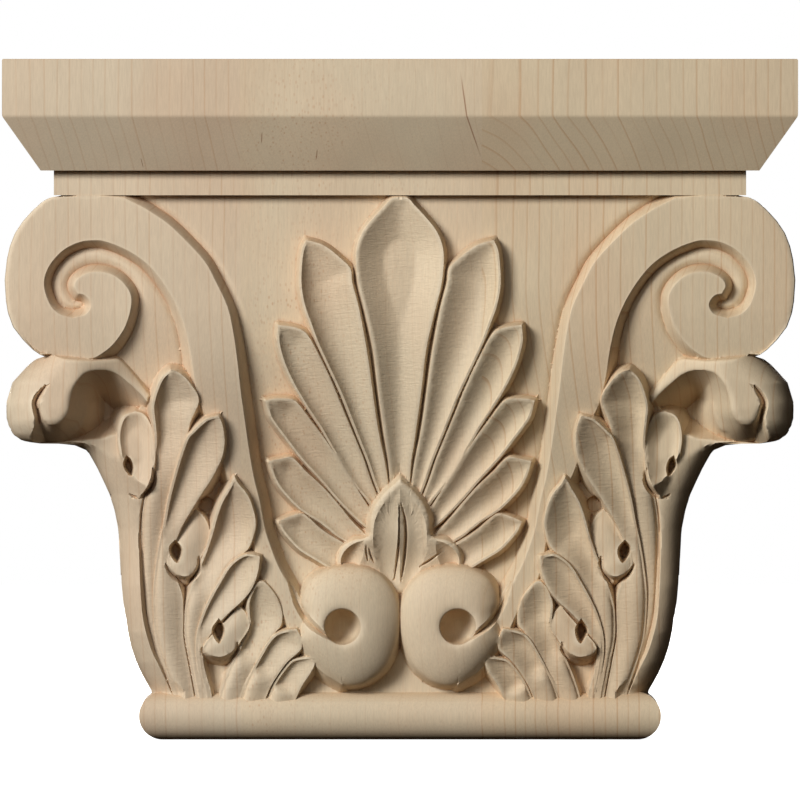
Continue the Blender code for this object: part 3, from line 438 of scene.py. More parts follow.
print("band outline of", len(band_ring()), "points")

# %% [markdown]
# At the foot each band rolls up into a fat scroll. Its crest stands at the lip of a bowl cut
# with a round gouge, and from there it falls away like a quarter ball to its outer edge. The
# bulb of the scroll lies over the band, with one curved cut between them.

# %% Foot scroll
SCROLL_EDGE = [
    (48, 127), (60, 126.5), (73, 124), (88, 115.5), (96, 103), (99, 89), (97, 76), (101, 64),
    (104, 54), (98, 42), (88, 30), (75, 18), (60, 9), (46, 7), (30, 12), (14, 26), (5, 46),
    (0.5, 66), (1, 86), (8, 104), (20, 118), (34, 125),
]
SCROLL_HOLE, SCROLL_HOLE_RADIUS = (58.0, 66.4), 18.0
SCROLL_EDGE_SHARE, SCROLL_FULLNESS = 0.52, 0.7
LIP_DROP, LIP_WIDTH = 0.7, 0.6
BOWL_DEPTH, BOWL_STEEP = 12.0, 3
BULB_CUT_WIDTH = 4.5
BULB_CUT = [(112, 112), (107, 100), (101, 86), (93, 73), (85, 65), (75, 57.5), (66, 52)]


def scroll_ring():
    """Closed outline of the scroll."""
    return drawn(SCROLL_EDGE + SCROLL_EDGE[:1])[:-1]


def raise_scroll(face, out, up):
    """The scroll's quarter-ball face, then the bowl at its middle."""
    ring = scroll_ring()
    near = window(out, up, [ring], WALL_REACH)
    a, b = out[near], up[near]
    to_edge = reach(a, b, closed(ring))[0]
    turn = np.hypot(a - SCROLL_HOLE[0], b - SCROLL_HOLE[1])
    to_hole = np.maximum(turn - SCROLL_HOLE_RADIUS, 0.0)
    share = to_hole / (to_hole + to_edge + TINY)
    ball = np.clip(1.0 - share ** 2, 0.0, 1.0) ** SCROLL_FULLNESS
    lip = LIP_DROP * np.exp(-to_hole * SQUARE / LIP_WIDTH)
    edge = SCROLL_EDGE_SHARE * SCROLL_LIFT
    shape = np.where(inside(a, b, ring), edge + (SCROLL_LIFT - edge) * ball - lip,
                     edge - WALL * to_edge)
    face[near] = np.maximum(face[near], bell(b) + shape)
    bowl = turn < SCROLL_HOLE_RADIUS
    depth = BOWL_DEPTH * np.sqrt(np.clip(1.0 - (turn / SCROLL_HOLE_RADIUS) ** BOWL_STEEP, 0.0, 1.0))
    face[near] = np.where(bowl, bell(b) + SCROLL_LIFT - LIP_DROP - depth, face[near])


print("scroll stands", SCROLL_LIFT, "mm out from the bell")

# %% [markdown]
# A three-lobed bud sits where the petals meet. Its middle lobe is two shallow hollows with a
# raised sliver between two knife cuts; a small dished lobe shows each side above the scrolls.
# The cuts were made freehand, so they differ a little from the left half to the right.

# %% Bud
BUD_OUTLINE = [
    (0, 216), (8, 209), (15, 202.5), (25.5, 189), (30.5, 174), (32, 158), (47, 154), (58, 147),
    (63, 136), (62, 122), (45, 108), (20, 100), (0, 98),
]
BUD_MIDDLE = ([(0, 209), (6, 202.5), (12, 196), (20.5, 184), (25.5, 172), (27, 158), (26, 140),
               (20, 122), (11, 108), (3, 98)],
              [(0, 209), (0, 200), (0, 188), (0, 175), (0, 160), (0, 145), (0, 130), (0, 98)])
BUD_SIDE = ([(36, 153), (46, 150), (55, 143), (59.5, 134), (58, 124), (50, 116)],
            [(36, 153), (36, 146), (37, 138), (40, 130), (44, 122), (50, 116)])
BUD_ROUND, BUD_FALL, BUD_FALL_FROM, BUD_FALL_TO = 2.2, 5.5, 168, 112
BUD_MIDDLE_HOLLOW, BUD_SIDE_HOLLOW = 0.16, 0.34
BUD_CUTS = {1: [([(1, 191), (5, 175), (6, 158), (4.5, 136), (1, 110)], 2.2, 2.4),
                ([(19, 126), (29, 132), (40, 140)], 1.8, 1.6)],
            -1: [([(1, 196), (0, 180), (0, 160), (2, 138), (6, 112)], 2.2, 2.4),
                 ([(34, 149), (34, 141), (32, 131)], 1.4, 1.6),
                 ([(31.5, 146), (29.5, 138), (26, 130)], 1.4, 1.6)]}


def raise_bud(face, out, up):
    """The bud's body, which sinks towards the scrolls that lie over it, and its dished lobes."""
    right = drawn(BUD_OUTLINE)
    ring = np.vstack([right, (right * (-1, 1))[::-1]])

    def top(a, b):
        return bell(b) + BUD_LIFT - BUD_FALL * smoothstep(-b, -BUD_FALL_FROM, -BUD_FALL_TO)

    raise_pillow(face, out, up, ring, top, BUD_ROUND)
    sink_scoop(face, out, up, *BUD_MIDDLE, BUD_MIDDLE_HOLLOW)
    sink_scoop(face, out, up, *BUD_SIDE, BUD_SIDE_HOLLOW)


def cut_bud(face, out, up, hand):
    """Knife cuts of one half of the bud."""
    for points, width, depth in BUD_CUTS[hand]:
        cut_groove(face, out, up, points, width, depth)


print("bud stands", BUD_LIFT, "mm out from the bell")

# %% [markdown]
# Acanthus wraps each corner. Every lobe is a dished leaf whose foot runs on as a long stem, so
# the edges of one lobe are drawn all the way down to the torus. Small rounded lobes stand on
# the leaf, each with a drilled eye at its root and a crescent cut under it.

# %% Acanthus
LOBES = [
    ([(230, 325), (238, 318), (244, 306), (248.5, 289), (247.5, 274), (246, 257), (247, 240),
      (250, 222), (254, 205), (258, 185), (260, 165), (260, 140), (259, 110), (257, 80),
      (253, 60), (247, 41), (239, 25), (228, 0), (224, -14)],
     [(230, 325), (223, 323), (215, 317), (208, 308), (203, 300), (202, 292), (205, 284),
      (210, 273), (214, 257), (220, 240), (227, 215), (231, 195), (235, 172), (239, 150),
      (244, 122), (246, 95), (244, 60), (238, 35), (226, 0), (222, -14)],
     (0.80, 0.30), 1.0, 0.30, 0.26),
    ([(182, 279), (193, 276), (201, 270), (208, 263), (214, 256), (221, 237), (228, 213),
      (233, 193), (237, 171), (242, 148), (246, 121), (248, 95), (246, 60), (240, 35),
      (228, 0), (224, -14)],
     [(182, 279), (178, 269), (176, 254), (178, 239), (183, 227), (190, 214), (198, 202),
      (208, 186), (218, 169), (226, 151), (231, 137), (226, 118), (219, 98), (218, 78),
      (218, 56), (214, 33), (208, 0), (206, -14)],
     (1.05, 0.28), 0.0, 0.26, 0.40),
    ([(166, 217), (173, 204), (180, 192), (186, 175), (190, 160), (196, 142), (203, 125),
      (209, 108), (214, 92), (216, 78), (216, 56), (212, 33), (206, 0), (204, -14)],
     [(166, 217), (162, 210), (153, 199), (147, 183), (145, 168), (149, 152), (155, 142),
      (166, 135), (175, 126), (184, 110), (191, 92), (198, 72), (202, 50), (200, 25),
      (196, 0), (194, -14)],
     (1.0, 0.30), 0.5, 0.28, 0.48),
    ([(141, 137), (149, 139), (156, 139), (165, 134), (173, 126), (181, 113), (190, 97),
      (198, 80), (204, 60), (205, 40), (202, 20), (198, 0), (197, -14)],
     [(141, 137), (142, 125), (146, 111), (152, 100), (160, 91), (169, 83), (178, 74),
      (188, 62), (196, 48), (198, 32), (194, 14), (190, 0), (189, -14)],
     (1.05, 0.30), 0.0, 0.26, 0.55),
    ([(141, 112), (147, 106), (153, 92), (153, 78), (152, 68), (157, 55), (164, 40),
      (173, 20), (180, 0), (183, -14)],
     [(141, 112), (136, 111), (128, 102), (122, 92), (118.5, 80), (119.5, 68), (125, 61),
      (133, 50), (141, 35), (150, 18), (158, 0), (162, -14)],
     (0.85, 0.28), 0.0, 0.26, 0.60),
    ([(104, 64), (117, 62), (126, 58), (133, 50), (140, 38), (147, 25), (155, 8), (162, -14)],
     [(104, 64), (100, 56), (99, 45), (105, 38), (113, 31), (122, 19), (131, 4), (138, -14)],
     (0.85, 0.30), 0.0, 0.24, 0.60),
    ([(87, 36), (99, 35), (109, 32), (118, 22), (127, 8), (136, -14)],
     [(87, 36), (86, 28), (91, 18), (99, 6), (108, -14)],
     (0.75, 0.30), 0.0, 0.24, 0.70),
]
EYELETS = [
    ([(266, 283), (276, 279), (281, 270), (283, 256), (281, 240), (279, 222), (274, 207),
      (262, 199)],
     [(266, 283), (257, 280), (250, 269), (246, 255), (245.5, 240), (247, 226), (250, 212),
      (262, 199)], (2.9, 13.2), 0.26),
    ([(205, 184), (213, 174), (220, 162), (226, 150), (232, 138), (233, 127), (226, 118),
      (215, 113)],
     [(205, 184), (198, 178), (193, 169), (191, 158), (193, 147), (200, 136), (205, 122),
      (215, 113)], (5.8, 9.1), -0.10),
    ([(162, 87), (169, 78), (178, 68), (188, 58), (196, 48), (197, 40), (190, 35), (180, 33)],
     [(162, 87), (155, 80), (151, 71), (153, 62), (160, 52), (165, 43), (171, 36), (180, 33)],
     (7.6, 9.1), -0.10),
]
EYES = [
    [(275, 239), (279, 229), (275, 221), (269, 217), (267, 226), (270, 235)],
    [(226, 154), (219, 146), (219, 137), (224, 130), (231, 138), (232, 147)],
    [(182, 75), (176, 65), (177, 55), (182, 49), (188, 57), (189, 65)],
    [(195, 199), (203, 194), (203, 184), (195, 181), (188, 185), (187, 193)],
]
CRESCENTS = [
    [(248, 227), (247, 215), (251, 205), (259, 199), (267, 198), (274, 202)],
    [(202, 138), (202, 126), (207, 117), (215, 113), (224, 115), (231, 121), (236, 130)],
    [(163, 51), (164, 43), (170, 36), (180, 32), (191, 34), (197, 39), (199, 46)],
]
STRIP_TOP, STRIP_ROUND = 235, 0.8
EYE_DEPTH, EYE_STEEP = 3.0, 2.0 * WALL
CRESCENT_WIDTH = 4.0


def corner_strip():
    """Outline of the plain strip of leaf that turns the corner."""
    first_lobe = [(x + 2, y) for x, y in LOBES[0][0][4:]]
    return np.array(first_lobe + [(420, -14), (420, 246), (300, 256)])


def raise_acanthus(face, out, up):
    """Corner strip, lobes, small lobes, then eyes and crescents."""
    raise_pillow(face, out, up, corner_strip(),
                 lambda a, b: corner_depth(np.minimum(b, STRIP_TOP)), STRIP_ROUND)
    for outer, inner, lift, lean, hollow, blade in LOBES:
        raise_scoop(face, out, up, outer, inner, [share * LOBE_LIFT for share in lift], lean,
                    hollow, blade=blade)
    for outer, inner, lift, hollow in EYELETS:
        raise_scoop(face, out, up, outer, inner, lift, 0.0, hollow)
    for points in EYES:
        floor = bell(np.array(points[0][1])) - EYE_DEPTH
        cut_pocket(face, out, up, drawn(points + points[:1])[:-1], floor, EYE_STEEP)
    for points in CRESCENTS:
        cut_groove(face, out, up, points, CRESCENT_WIDTH, GROOVE_DEPTH)


print(len(LOBES), "lobes and", len(EYELETS), "small lobes each side")

# %% [markdown]
# Above the leaf its tip curls out under the volute. Two fat lobes hang down at the corner with
# a notch between them, and a round hollow, scooped deep under the roof of the curl, shows
# beside them. Roof and lobes are one pillow; the hollow is a cove with a rolled drum in it.

# %% Curled leaf tip
CURL_ROOF = [
    (420, 344), (361, 341), (348, 338), (328, 336), (308, 335), (292, 336), (282, 336),
    (274, 329), (265.5, 319), (257, 308), (250.5, 299),
]
INNER_LOBE = [
    (252, 295), (254, 292.5), (260.5, 299.5), (272.5, 311), (285.5, 321), (299, 324), (315, 321),
    (325, 309), (329.5, 296), (332, 281), (340, 271), (350, 269), (356, 272.5), (360, 279),
    (362.5, 286),
]
OUTER_LOBE = [(363.5, 285), (364, 276), (366.5, 267), (373, 259.5), (385, 253.5), (420, 247)]
CURL_DRUM = [
    (352, 276), (350, 266), (344, 261.5), (332, 259.5), (322, 263.5), (315.5, 274), (312.5, 288),
    (315.5, 304), (322, 314), (340, 320), (356, 300),
]
HOOD_HOLLOW = [
    (254.5, 292), (261, 299), (272.5, 310.5), (285.5, 320.5), (299, 323.5), (315, 320.5),
    (325, 309), (331, 296), (336, 281), (338, 266), (332, 252), (312, 246), (296, 248),
    (284, 254), (280, 268), (271, 281), (262, 285),
]
CURL_CREASE = [(354, 310), (361, 301), (365, 293), (364.5, 286), (362.5, 278), (361, 270)]
CREASE_WIDTH, CREASE_DEPTH = 4.5, 4.2
COVE_DEPTH, COVE_ROUND = 27.0, 17.0
DRUM_SET_BACK, DRUM_ROUND = 12.0, 6.0
NOSE_HEIGHT = 22
CURL_FALL, CURL_FALL_FROM, CURL_FALL_TO = 12.0, 330, 250
ROOF_ROUND, LOBE_ROUND = 1.4, 1.2
LOBES_OUT, LOBES_FROM, LOBES_TO = (318, 338), 330, 300


def curl_ring():
    """Closed outline of the roof of the curl and its two hanging lobes."""
    return np.vstack([drawn(part) for part in (CURL_ROOF, INNER_LOBE, OUTER_LOBE)])


def curl_top(out, up):
    """Face of the curled leaf tip, falling away towards the panel."""
    fall = CURL_FALL * smoothstep(-out, -CURL_FALL_FROM, -CURL_FALL_TO)
    return corner_depth(np.clip(up, UNDER_CURL + NOSE_HEIGHT, UNDER_VOLUTE - 1)) - fall


def curl_edge(out, up):
    """Radius of the curl's edge: thin at the roof's rim, fuller round the hanging lobes."""
    lobes = smoothstep(out, *LOBES_OUT) * smoothstep(-up, -LOBES_FROM, -LOBES_TO)
    return ROOF_ROUND + LOBE_ROUND * lobes


def raise_curl(face, out, up):
    """The round hollow, the rolled drum in it, and the roof and lobes over them."""
    hollow = drawn(HOOD_HOLLOW)
    near = window(out, up, [hollow], 1)
    a, b = out[near], up[near]
    gap = reach(a, b, closed(hollow))[0]
    cove = np.sqrt(1.0 - (1.0 - np.clip(gap / COVE_ROUND, 0.0, 1.0)) ** 2)
    scooped = np.minimum(face[near], curl_top(a, b) - COVE_DEPTH * cove)
    face[near] = np.where(inside(a, b, hollow), scooped, face[near])
    raise_pillow(face, out, up, drawn(CURL_DRUM),
                 lambda a, b: np.full(b.shape, CURL_DEPTH - DRUM_SET_BACK), DRUM_ROUND)
    raise_pillow(face, out, up, curl_ring(), curl_top, curl_edge)
    cut_groove(face, out, up, CURL_CREASE, CREASE_WIDTH, CREASE_DEPTH)


print("curl stands", CURL_DEPTH, "mm from the wall")

# %% [markdown]
# The whole carving is these moves in order, on top of the bell. Keeping only the highest shape
# at each point lets neighbours meet in crisp lines without any cutting of solids.

# %% The carved face
def carve(out, up, hand, palmette=True):
    """Depth of the carved face at points of the setting-out grid: hand is 1 or -1."""
    face = bell(up)
    if palmette:
        sink_cove(face, out, up)
        raise_palmette(face, out, up)
        raise_pillow(face, out, up, band_ring(), band_top, BAND_EASE)
        raise_bud(face, out, up)
        raise_scroll(face, out, up)
        cut_bud(face, out, up, hand)
        cut_groove(face, out, up, BULB_CUT, BULB_CUT_WIDTH, GROOVE_DEPTH)
    raise_curl(face, out, up)
    raise_acanthus(face, out, up)
    return face


test_out, test_up = np.array([0.0, 60.0, 300.0]), np.array([300.0, 100.0, 450.0])
print("depths at petal, scroll and volute:", carve(test_out, test_up, 1).round(1))

# %% [markdown]
# A square grid would leave every slanting edge serrated. The skin is a triangle net instead,
# laid so that its lines run along each drawn edge and along the foot of each wall, with loose
# points between. Blender's own constrained Delaunay routine makes such a net. Spacings, wall
# feet and clearances are in squares, like the drawing.

# %% Lines the net follows
SKIN_FOOT, SKIN_TOP = -10.0, 508.0
LEVEL = 0.002
SPARE = 1.0
NET_SQUARES, SIDE_NET_SQUARES = 3.2, 5.5
CREASE_TOLERANCES, CREASE_SHORTEST = (0.25, 0.15), 1.0
LOBE_WALL_FOOT, EYELET_WALL_FOOT = 3.0, 2.0
BAND_WALL_FOOT = 0.75 * BAND_LIFT / SLOPE
LIP_LINE, CIRCLE_STEPS = 1.5, 72
HALF_STEP = 0.2
DISC_FOOT = (340.0, 395.0)


def offset(line, distance):
    """A line moved sideways."""
    along = np.gradient(line, axis=0)
    along /= np.hypot(along[:, 0], along[:, 1])[:, None] + TINY
    return line + distance * np.stack([-along[:, 1], along[:, 0]], axis=1)


def leaf_lines(outer, inner, wall_foot):
    """Edges, rims and wall feet of one leaf."""
    edges = [drawn(outer), drawn(inner)]
    return edges + [offset(edges[0], wall_foot), offset(edges[1], -wall_foot),
                    offset(edges[0], -RIM), offset(edges[1], RIM)]


def circle(centre, radius):
    """A closed round line."""
    turns = np.linspace(0.0, 2.0 * math.pi, CIRCLE_STEPS + 1)
    return np.stack([centre[0] + radius * np.cos(turns), centre[1] + radius * np.sin(turns)],
                    axis=1)


def side_lines():
    """Lines of the leaf and its curled tip."""
    lines = []
    for outer, inner, *_ in LOBES:
        lines += leaf_lines(outer, inner, LOBE_WALL_FOOT)
    for outer, inner, *_ in EYELETS:
        lines += leaf_lines(outer, inner, EYELET_WALL_FOOT)
    for points in EYES + [CURL_DRUM, HOOD_HOLLOW]:
        lines.append(drawn(points + points[:1]))
    for points in CRESCENTS + [CURL_CREASE]:
        line = drawn(points)
        lines += [line, offset(line, CRESCENT_WIDTH), offset(line, -CRESCENT_WIDTH)]
    return lines + [closed(curl_ring())]


def front_lines(hand):
    """Lines of the palmette, volute, scroll and bud, and those of the leaf."""
    lines = []
    for lower, upper in palmette_pairs():
        lines += leaf_lines(lower, upper, PETAL_LIFT / WALL)
    lines += [closed(band_ring()), closed(scroll_ring())]
    for line in (drawn(BAND_PANEL_SIDE), drawn(COIL_END + BAND_INSIDE[1:]), drawn(DISC_COIL)):
        lines += [offset(line, BAND_WALL_FOOT), offset(line, -BAND_EASE / SQUARE)]
    lines += [circle(SCROLL_HOLE, radius)
              for radius in (SCROLL_HOLE_RADIUS, SCROLL_HOLE_RADIUS + LIP_LINE)]
    for level in (UNDER_VOLUTE - HALF_STEP, UNDER_VOLUTE + HALF_STEP):
        out = np.arange(*DISC_FOOT, NET_SQUARES)
        lines.append(np.stack([out, np.full(len(out), level)], axis=1))
    lines += [drawn(BUD_OUTLINE)] + [drawn(edge) for edge in (*BUD_MIDDLE, *BUD_SIDE)]
    for points, width, _ in [(BULB_CUT, BULB_CUT_WIDTH, GROOVE_DEPTH)] + BUD_CUTS[hand]:
        line = drawn(points)
        lines += [line, offset(line, width), offset(line, -width)]
    return lines + side_lines()


print(len(front_lines(1)), "lines on the right half of the front")

# %% [markdown]
# Each half is two nets that share the plan corner: the front, which is lifted by `carve`, and
# the return, which runs back to the wall and carries the same leaf turned round the corner.
# The volute's return is a plain bolster, since its scroll is turned right through.

# %% Triangle nets
EDGE_CLEAR, FREE_CLEAR, ROW_CLEAR, ROW_SHORTEST = 1.0, 0.6, 0.6, 0.3
ROW_SHARE = 0.866
SNAP = 1e-3
END_CLEAR = 2


def corner_line(spacing):
    """The plan corner up the capital, in squares."""
    breaks = ((UNDER_CURL, HALF_STEP), (UNDER_VOLUTE, HALF_STEP), (VOLUTE_TOP, 2 * HALF_STEP))
    steps = [level + side * half for level, half in breaks for side in (-1, 1)]
    marks = np.array([mark for _, mark in SIDE_OUTLINE[1:-1]])
    rows = np.concatenate([np.arange(SKIN_FOOT, SKIN_TOP, spacing), marks])
    clear = np.all(np.abs(rows[:, None] - np.array(steps)) > ROW_CLEAR, axis=1)
    rows = np.unique(np.concatenate([rows[clear], steps, [SKIN_FOOT, SKIN_TOP]]).round(2))
    rows = rows[np.concatenate([[True], np.diff(rows) > ROW_SHORTEST])]
    out = half_width(rows) - (1 - math.sqrt(0.5)) * corner_round(rows) / SQUARE_OUT
    return np.stack([out, rows], axis=1)


def net(border, lines, spacing, depth_at):
    """Triangles that fill a border, follow the lines drawn in it and close in on creases."""
    edge = closed(border)
    points = [tuple(point) for point in border]
    links = [(i, (i + 1) % len(border)) for i in range(len(border))]
    kept = [edge]
    for line in lines:
        gap = reach(line[:, 0], line[:, 1], edge)[0]
        held = inside(line[:, 0], line[:, 1], border) & (gap > EDGE_CLEAR)
        for i, point in enumerate(line):
            if held[i]:
                if i and held[i - 1]:
                    links.append((len(points) - 1, len(points)))
                points.append(tuple(point))
        if held.any():
            kept.append(line)
    low, high = border.min(axis=0), border.max(axis=0)
    out, up = np.meshgrid(np.arange(low[0], high[0], spacing),
                          np.arange(low[1], high[1], spacing * ROW_SHARE))
    out[::2] += 0.5 * spacing
    out, up = out.ravel(), up.ravel()
    free = inside(out, up, border)
    for line in kept:
        near = window(out, up, [line], spacing) & free
        free[near] = reach(out[near], up[near], line)[0] > FREE_CLEAR * spacing
    points += list(zip(out[free], up[free]))
    for tolerance in CREASE_TOLERANCES + (None,):
        vectors = [Vector(point) for point in points]
        verts, _, faces, *_ = delaunay_2d_cdt(vectors, links, [], 0, SNAP, False)
        verts, faces = np.array([tuple(vert) for vert in verts]), np.array(faces)
        middle = verts[faces].mean(axis=1)
        faces = faces[inside(middle[:, 0], middle[:, 1], border)]
        if tolerance is None:
            return verts, faces
        sides = np.unique(np.sort(faces[:, [[0, 1], [1, 2], [2, 0]]].reshape(-1, 2)), axis=0)
        ends = verts[sides]
        middle = ends.mean(axis=1)
        depth = depth_at(verts)
        miss = np.abs(depth_at(middle) - depth[sides].mean(axis=1))
        long = np.hypot(*(ends[:, 0] - ends[:, 1]).T) > CREASE_SHORTEST
        long &= reach(middle[:, 0], middle[:, 1], edge)[0] > EDGE_CLEAR
        points += list(map(tuple, middle[long & (miss > tolerance)]))


def corner_round_off(plan, corner):
    """How far the rounded corner falls back, measured across the corner, and where it lies."""
    out, up = plan.T
    radius = corner_round(up)
    turn = np.clip(radius - (half_width(up) - out) * SQUARE_OUT, 0.0, radius)
    fall = radius - np.sqrt(np.maximum(radius ** 2 - turn ** 2, 0.0))
    return fall, reach(out, up, corner)[0] < SNAP


def front_net(hand):
    """The front of one half: plan, points in millimetres and faces."""
    corner = corner_line(NET_SQUARES)
    foot = np.arange(0.0, corner[0, 0] - END_CLEAR, NET_SQUARES)
    top = np.arange(corner[-1, 0] - NET_SQUARES, END_CLEAR, -NET_SQUARES)
    centre = np.arange(corner[-1, 1], corner[0, 1] + END_CLEAR, -NET_SQUARES)
    border = np.vstack([
        np.stack([foot, np.full(len(foot), corner[0, 1])], axis=1), corner,
        np.stack([top, np.full(len(top), corner[-1, 1])], axis=1),
        np.stack([np.zeros(len(centre)), centre], axis=1),
    ])

    def depth_at(plan):
        out, up = plan.T
        fall, on_corner = corner_round_off(plan, corner)
        inward = np.maximum((half_width(up) - out) * SQUARE_OUT - corner_round(up), 0.0)
        edge = corner_depth(up) - fall
        return np.where(on_corner, edge, np.minimum(carve(out, up, hand), edge + inward))

    plan, faces = net(border, front_lines(hand), NET_SQUARES, depth_at)
    out, up = plan.T
    points = np.stack([out * SQUARE_OUT, BACK_Y - depth_at(plan),
                       TORUS_HEIGHT + up * SQUARE_UP], axis=1)
    return plan, points, faces


def side_net(hand):
    """The return of one half: the leaf's relief turned round the plan corner."""
    corner = corner_line(NET_SQUARES)
    rows = corner[::-1, 1]
    wall = half_width(rows) - (corner_depth(rows) + SPARE) / SQUARE_OUT
    border = np.vstack([corner, np.stack([wall, rows], axis=1)])

    def inset_at(plan):
        out, up = plan.T
        relief = corner_depth(up) - carve(out, up, hand, palmette=False)
        relief = np.where(up > UNDER_VOLUTE, 0.0, relief)
        fall, on_corner = corner_round_off(plan, corner)
        return np.where(on_corner, fall, np.maximum(relief, fall))

    plan, faces = net(border, side_lines(), SIDE_NET_SQUARES, inset_at)
    out, up = plan.T
    depth = corner_depth(up) - (half_width(up) - out) * SQUARE_OUT
    points = np.stack([half_width(up) * SQUARE_OUT - inset_at(plan), BACK_Y - depth,
                       TORUS_HEIGHT + up * SQUARE_UP], axis=1)
    return plan, points, faces[:, ::-1]


nets = {hand: (front_net(hand), side_net(hand)) for hand in (1, -1)}
print("triangles in each half:", [len(front[2]) + len(side[2]) for front, side in nets.values()])

# %% [markdown]
# The nets are joined, mirrored and closed with flat faces at the foot, the top and the back,
# so the carving is one body, like the wood. Where the bud's cuts differ from left to right, a
# narrow step stays open on the centre line, edge-on to the front. A millimetre of stock is left
# at the back until the mouldings are on.

# %% Carved body
def corner_faces(plan, faces):
    """Faces whose three points all lie on the plan corner, by the places of those points."""
    on_corner = reach(plan[:, 0], plan[:, 1], corner_line(NET_SQUARES))[0] < LEVEL
    return {tuple(sorted(map(tuple, plan[face].round(1))))
            for face in faces[on_corner[faces].all(axis=1)]}


def level_ends(plan, height):
    """The points of a net that lie at one height, from the centre line outwards."""
    level = np.flatnonzero(np.abs(plan[:, 1] - height) < LEVEL)
    return level[np.argsort(plan[level, 0])]


def carved_half(bm, hand):
    """Add one half of the body to a mesh: hand is 1 on the viewer's right, -1 on the left."""
    front, side = nets[hand]
    shared = corner_faces(front[0], front[2]) & corner_faces(side[0], side[2])
    skins = []
    for plan, points, faces in (front, side):
        verts = [bm.verts.new(point * MM * (hand, 1, 1)) for point in points]
        skins.append(verts)
        at_wall = np.abs(points[:, 1] - BACK_Y - SPARE) < LEVEL
        for face in faces:
            key = tuple(sorted(map(tuple, plan[face].round(1))))
            if not at_wall[face].all() and key not in shared:
                bm.faces.new([verts[i] for i in face[::hand]])
    back = []
    for height in (SKIN_FOOT, SKIN_TOP):
        across = [skins[0][i] for i in level_ends(front[0], height)]
        along = [skins[1][i] for i in level_ends(side[0], height)[::-1]]
        middle = bm.verts.new((0.0, (BACK_Y + SPARE) * MM, across[0].co.z))
        bm.faces.new(across + along + [middle])
        back.append(middle)
    wall = [vert for vert in skins[1]
            if abs(vert.co.y - (BACK_Y + SPARE) * MM) < LEVEL * MM and vert.link_faces]
    wall.sort(key=lambda vert: vert.co.z)
    bm.faces.new(wall + back[::-1])


def finished(name, bm):
    """Turn a mesh under construction into an object in the scene."""
    mesh = bpy.data.meshes.new(name)
    bm.to_mesh(mesh)
    bm.free()
    piece = bpy.data.objects.new(name, mesh)
    bpy.context.scene.collection.objects.link(piece)
    return piece


bm = bmesh.new()
for hand in nets:
    carved_half(bm, hand)
bmesh.ops.remove_doubles(bm, verts=bm.verts, dist=LEVEL * MM)
bmesh.ops.recalc_face_normals(bm, faces=bm.faces)
bmesh.ops.triangulate(bm, faces=[face for face in bm.faces if len(face.verts) > 4])
capital = finished("carved_capital", bm)
print("carved body:", len(capital.data.polygons), "faces")

# %% [markdown]
# The abacus, its chamfer, the fillet and the torus are plain mouldings that return round three
# sides. Each is a stack of rectangles, extruded upwards one after another, and is joined to the
# carving with a union, because on the real capital there is no joint there at all.

# %% Mouldings
TOP_EASE = 0.4
ARRIS_SHARES = (0.0, 0.25, 0.5, 0.75, 1.0)
TORUS_STEPS = 24
SHARP_ANGLE = 34
WALL_SNAP = 1e-7


def moulding(name, profile):
    """Rectangles stacked up a profile of (height, half width, depth from the wall)."""
    bm = bmesh.new()
    bmesh.ops.create_grid(bm, x_segments=1, y_segments=1, size=1.0)
    face = bm.faces[:][0]
    for level, (height, half, depth) in enumerate(profile):
        if level:
            grown = bmesh.ops.extrude_face_region(bm, geom=[face])["geom"]
            if level > 1:
                bmesh.ops.delete(bm, geom=[face], context="FACES_ONLY")
            face = next(item for item in grown if isinstance(item, bmesh.types.BMFace))
        for vert in face.verts:
            vert.co.x = math.copysign(half, vert.co.x) * MM
            vert.co.z = height * MM
            in_front = vert.co.y < (0 if level == 0 else BACK_Y * MM)
            vert.co.y = (BACK_Y - depth if in_front else BACK_Y + 2 * SPARE) * MM
    bmesh.ops.recalc_face_normals(bm, faces=bm.faces)
    return finished(name, bm)


def head_profile():
    """Fillet, soffit, chamfer, eased arris and abacus edge, from the foot up."""
    half, depth = ABACUS_WIDTH / 2, ABACUS_DEPTH
    slope = math.atan2(CHAMFER_RUN, CHAMFER_HEIGHT)
    arris = SOFFIT + CHAMFER_HEIGHT + ARRIS_ROUND * math.tan(slope / 2)
    profile = [(FIELD_TOP, FILLET_HALF_WIDTH, FILLET_DEPTH),
               (SOFFIT, FILLET_HALF_WIDTH, FILLET_DEPTH),
               (SOFFIT, half - CHAMFER_RUN, depth - CHAMFER_RUN)]
    for share in ARRIS_SHARES:
        angle = slope * (1.0 - share)
        inset = ARRIS_ROUND * (1.0 - math.cos(angle))
        profile.append((arris - ARRIS_ROUND * math.sin(angle), half - inset, depth - inset))
    return profile + [(TOP - TOP_EASE, half, depth), (TOP, half - TOP_EASE, depth - TOP_EASE)]


def torus_profile():
    """Half round, from the flat underside up."""
    radius = TORUS_HEIGHT / 2
    profile = []
    for step in range(TORUS_STEPS + 1):
        angle = math.pi * (step / TORUS_STEPS - 0.5)
        inset = radius * (1.0 - math.cos(angle))
        profile.append((radius * (1.0 + math.sin(angle)), TORUS_HALF_WIDTH - inset,
                        TORUS_DEPTH - inset))
    return profile


for name, profile in (("head", head_profile()), ("torus", torus_profile())):
    shape = moulding(name, profile)
    join = capital.modifiers.new("join the " + name, "BOOLEAN")
    join.operation = "UNION"
    join.object = shape
    with bpy.context.temp_override(object=capital, active_object=capital):
        bpy.ops.object.modifier_apply(modifier=join.name)
    bpy.data.objects.remove(shape, do_unlink=True)
    print("joined the", name, "-", len(capital.data.polygons), "faces")

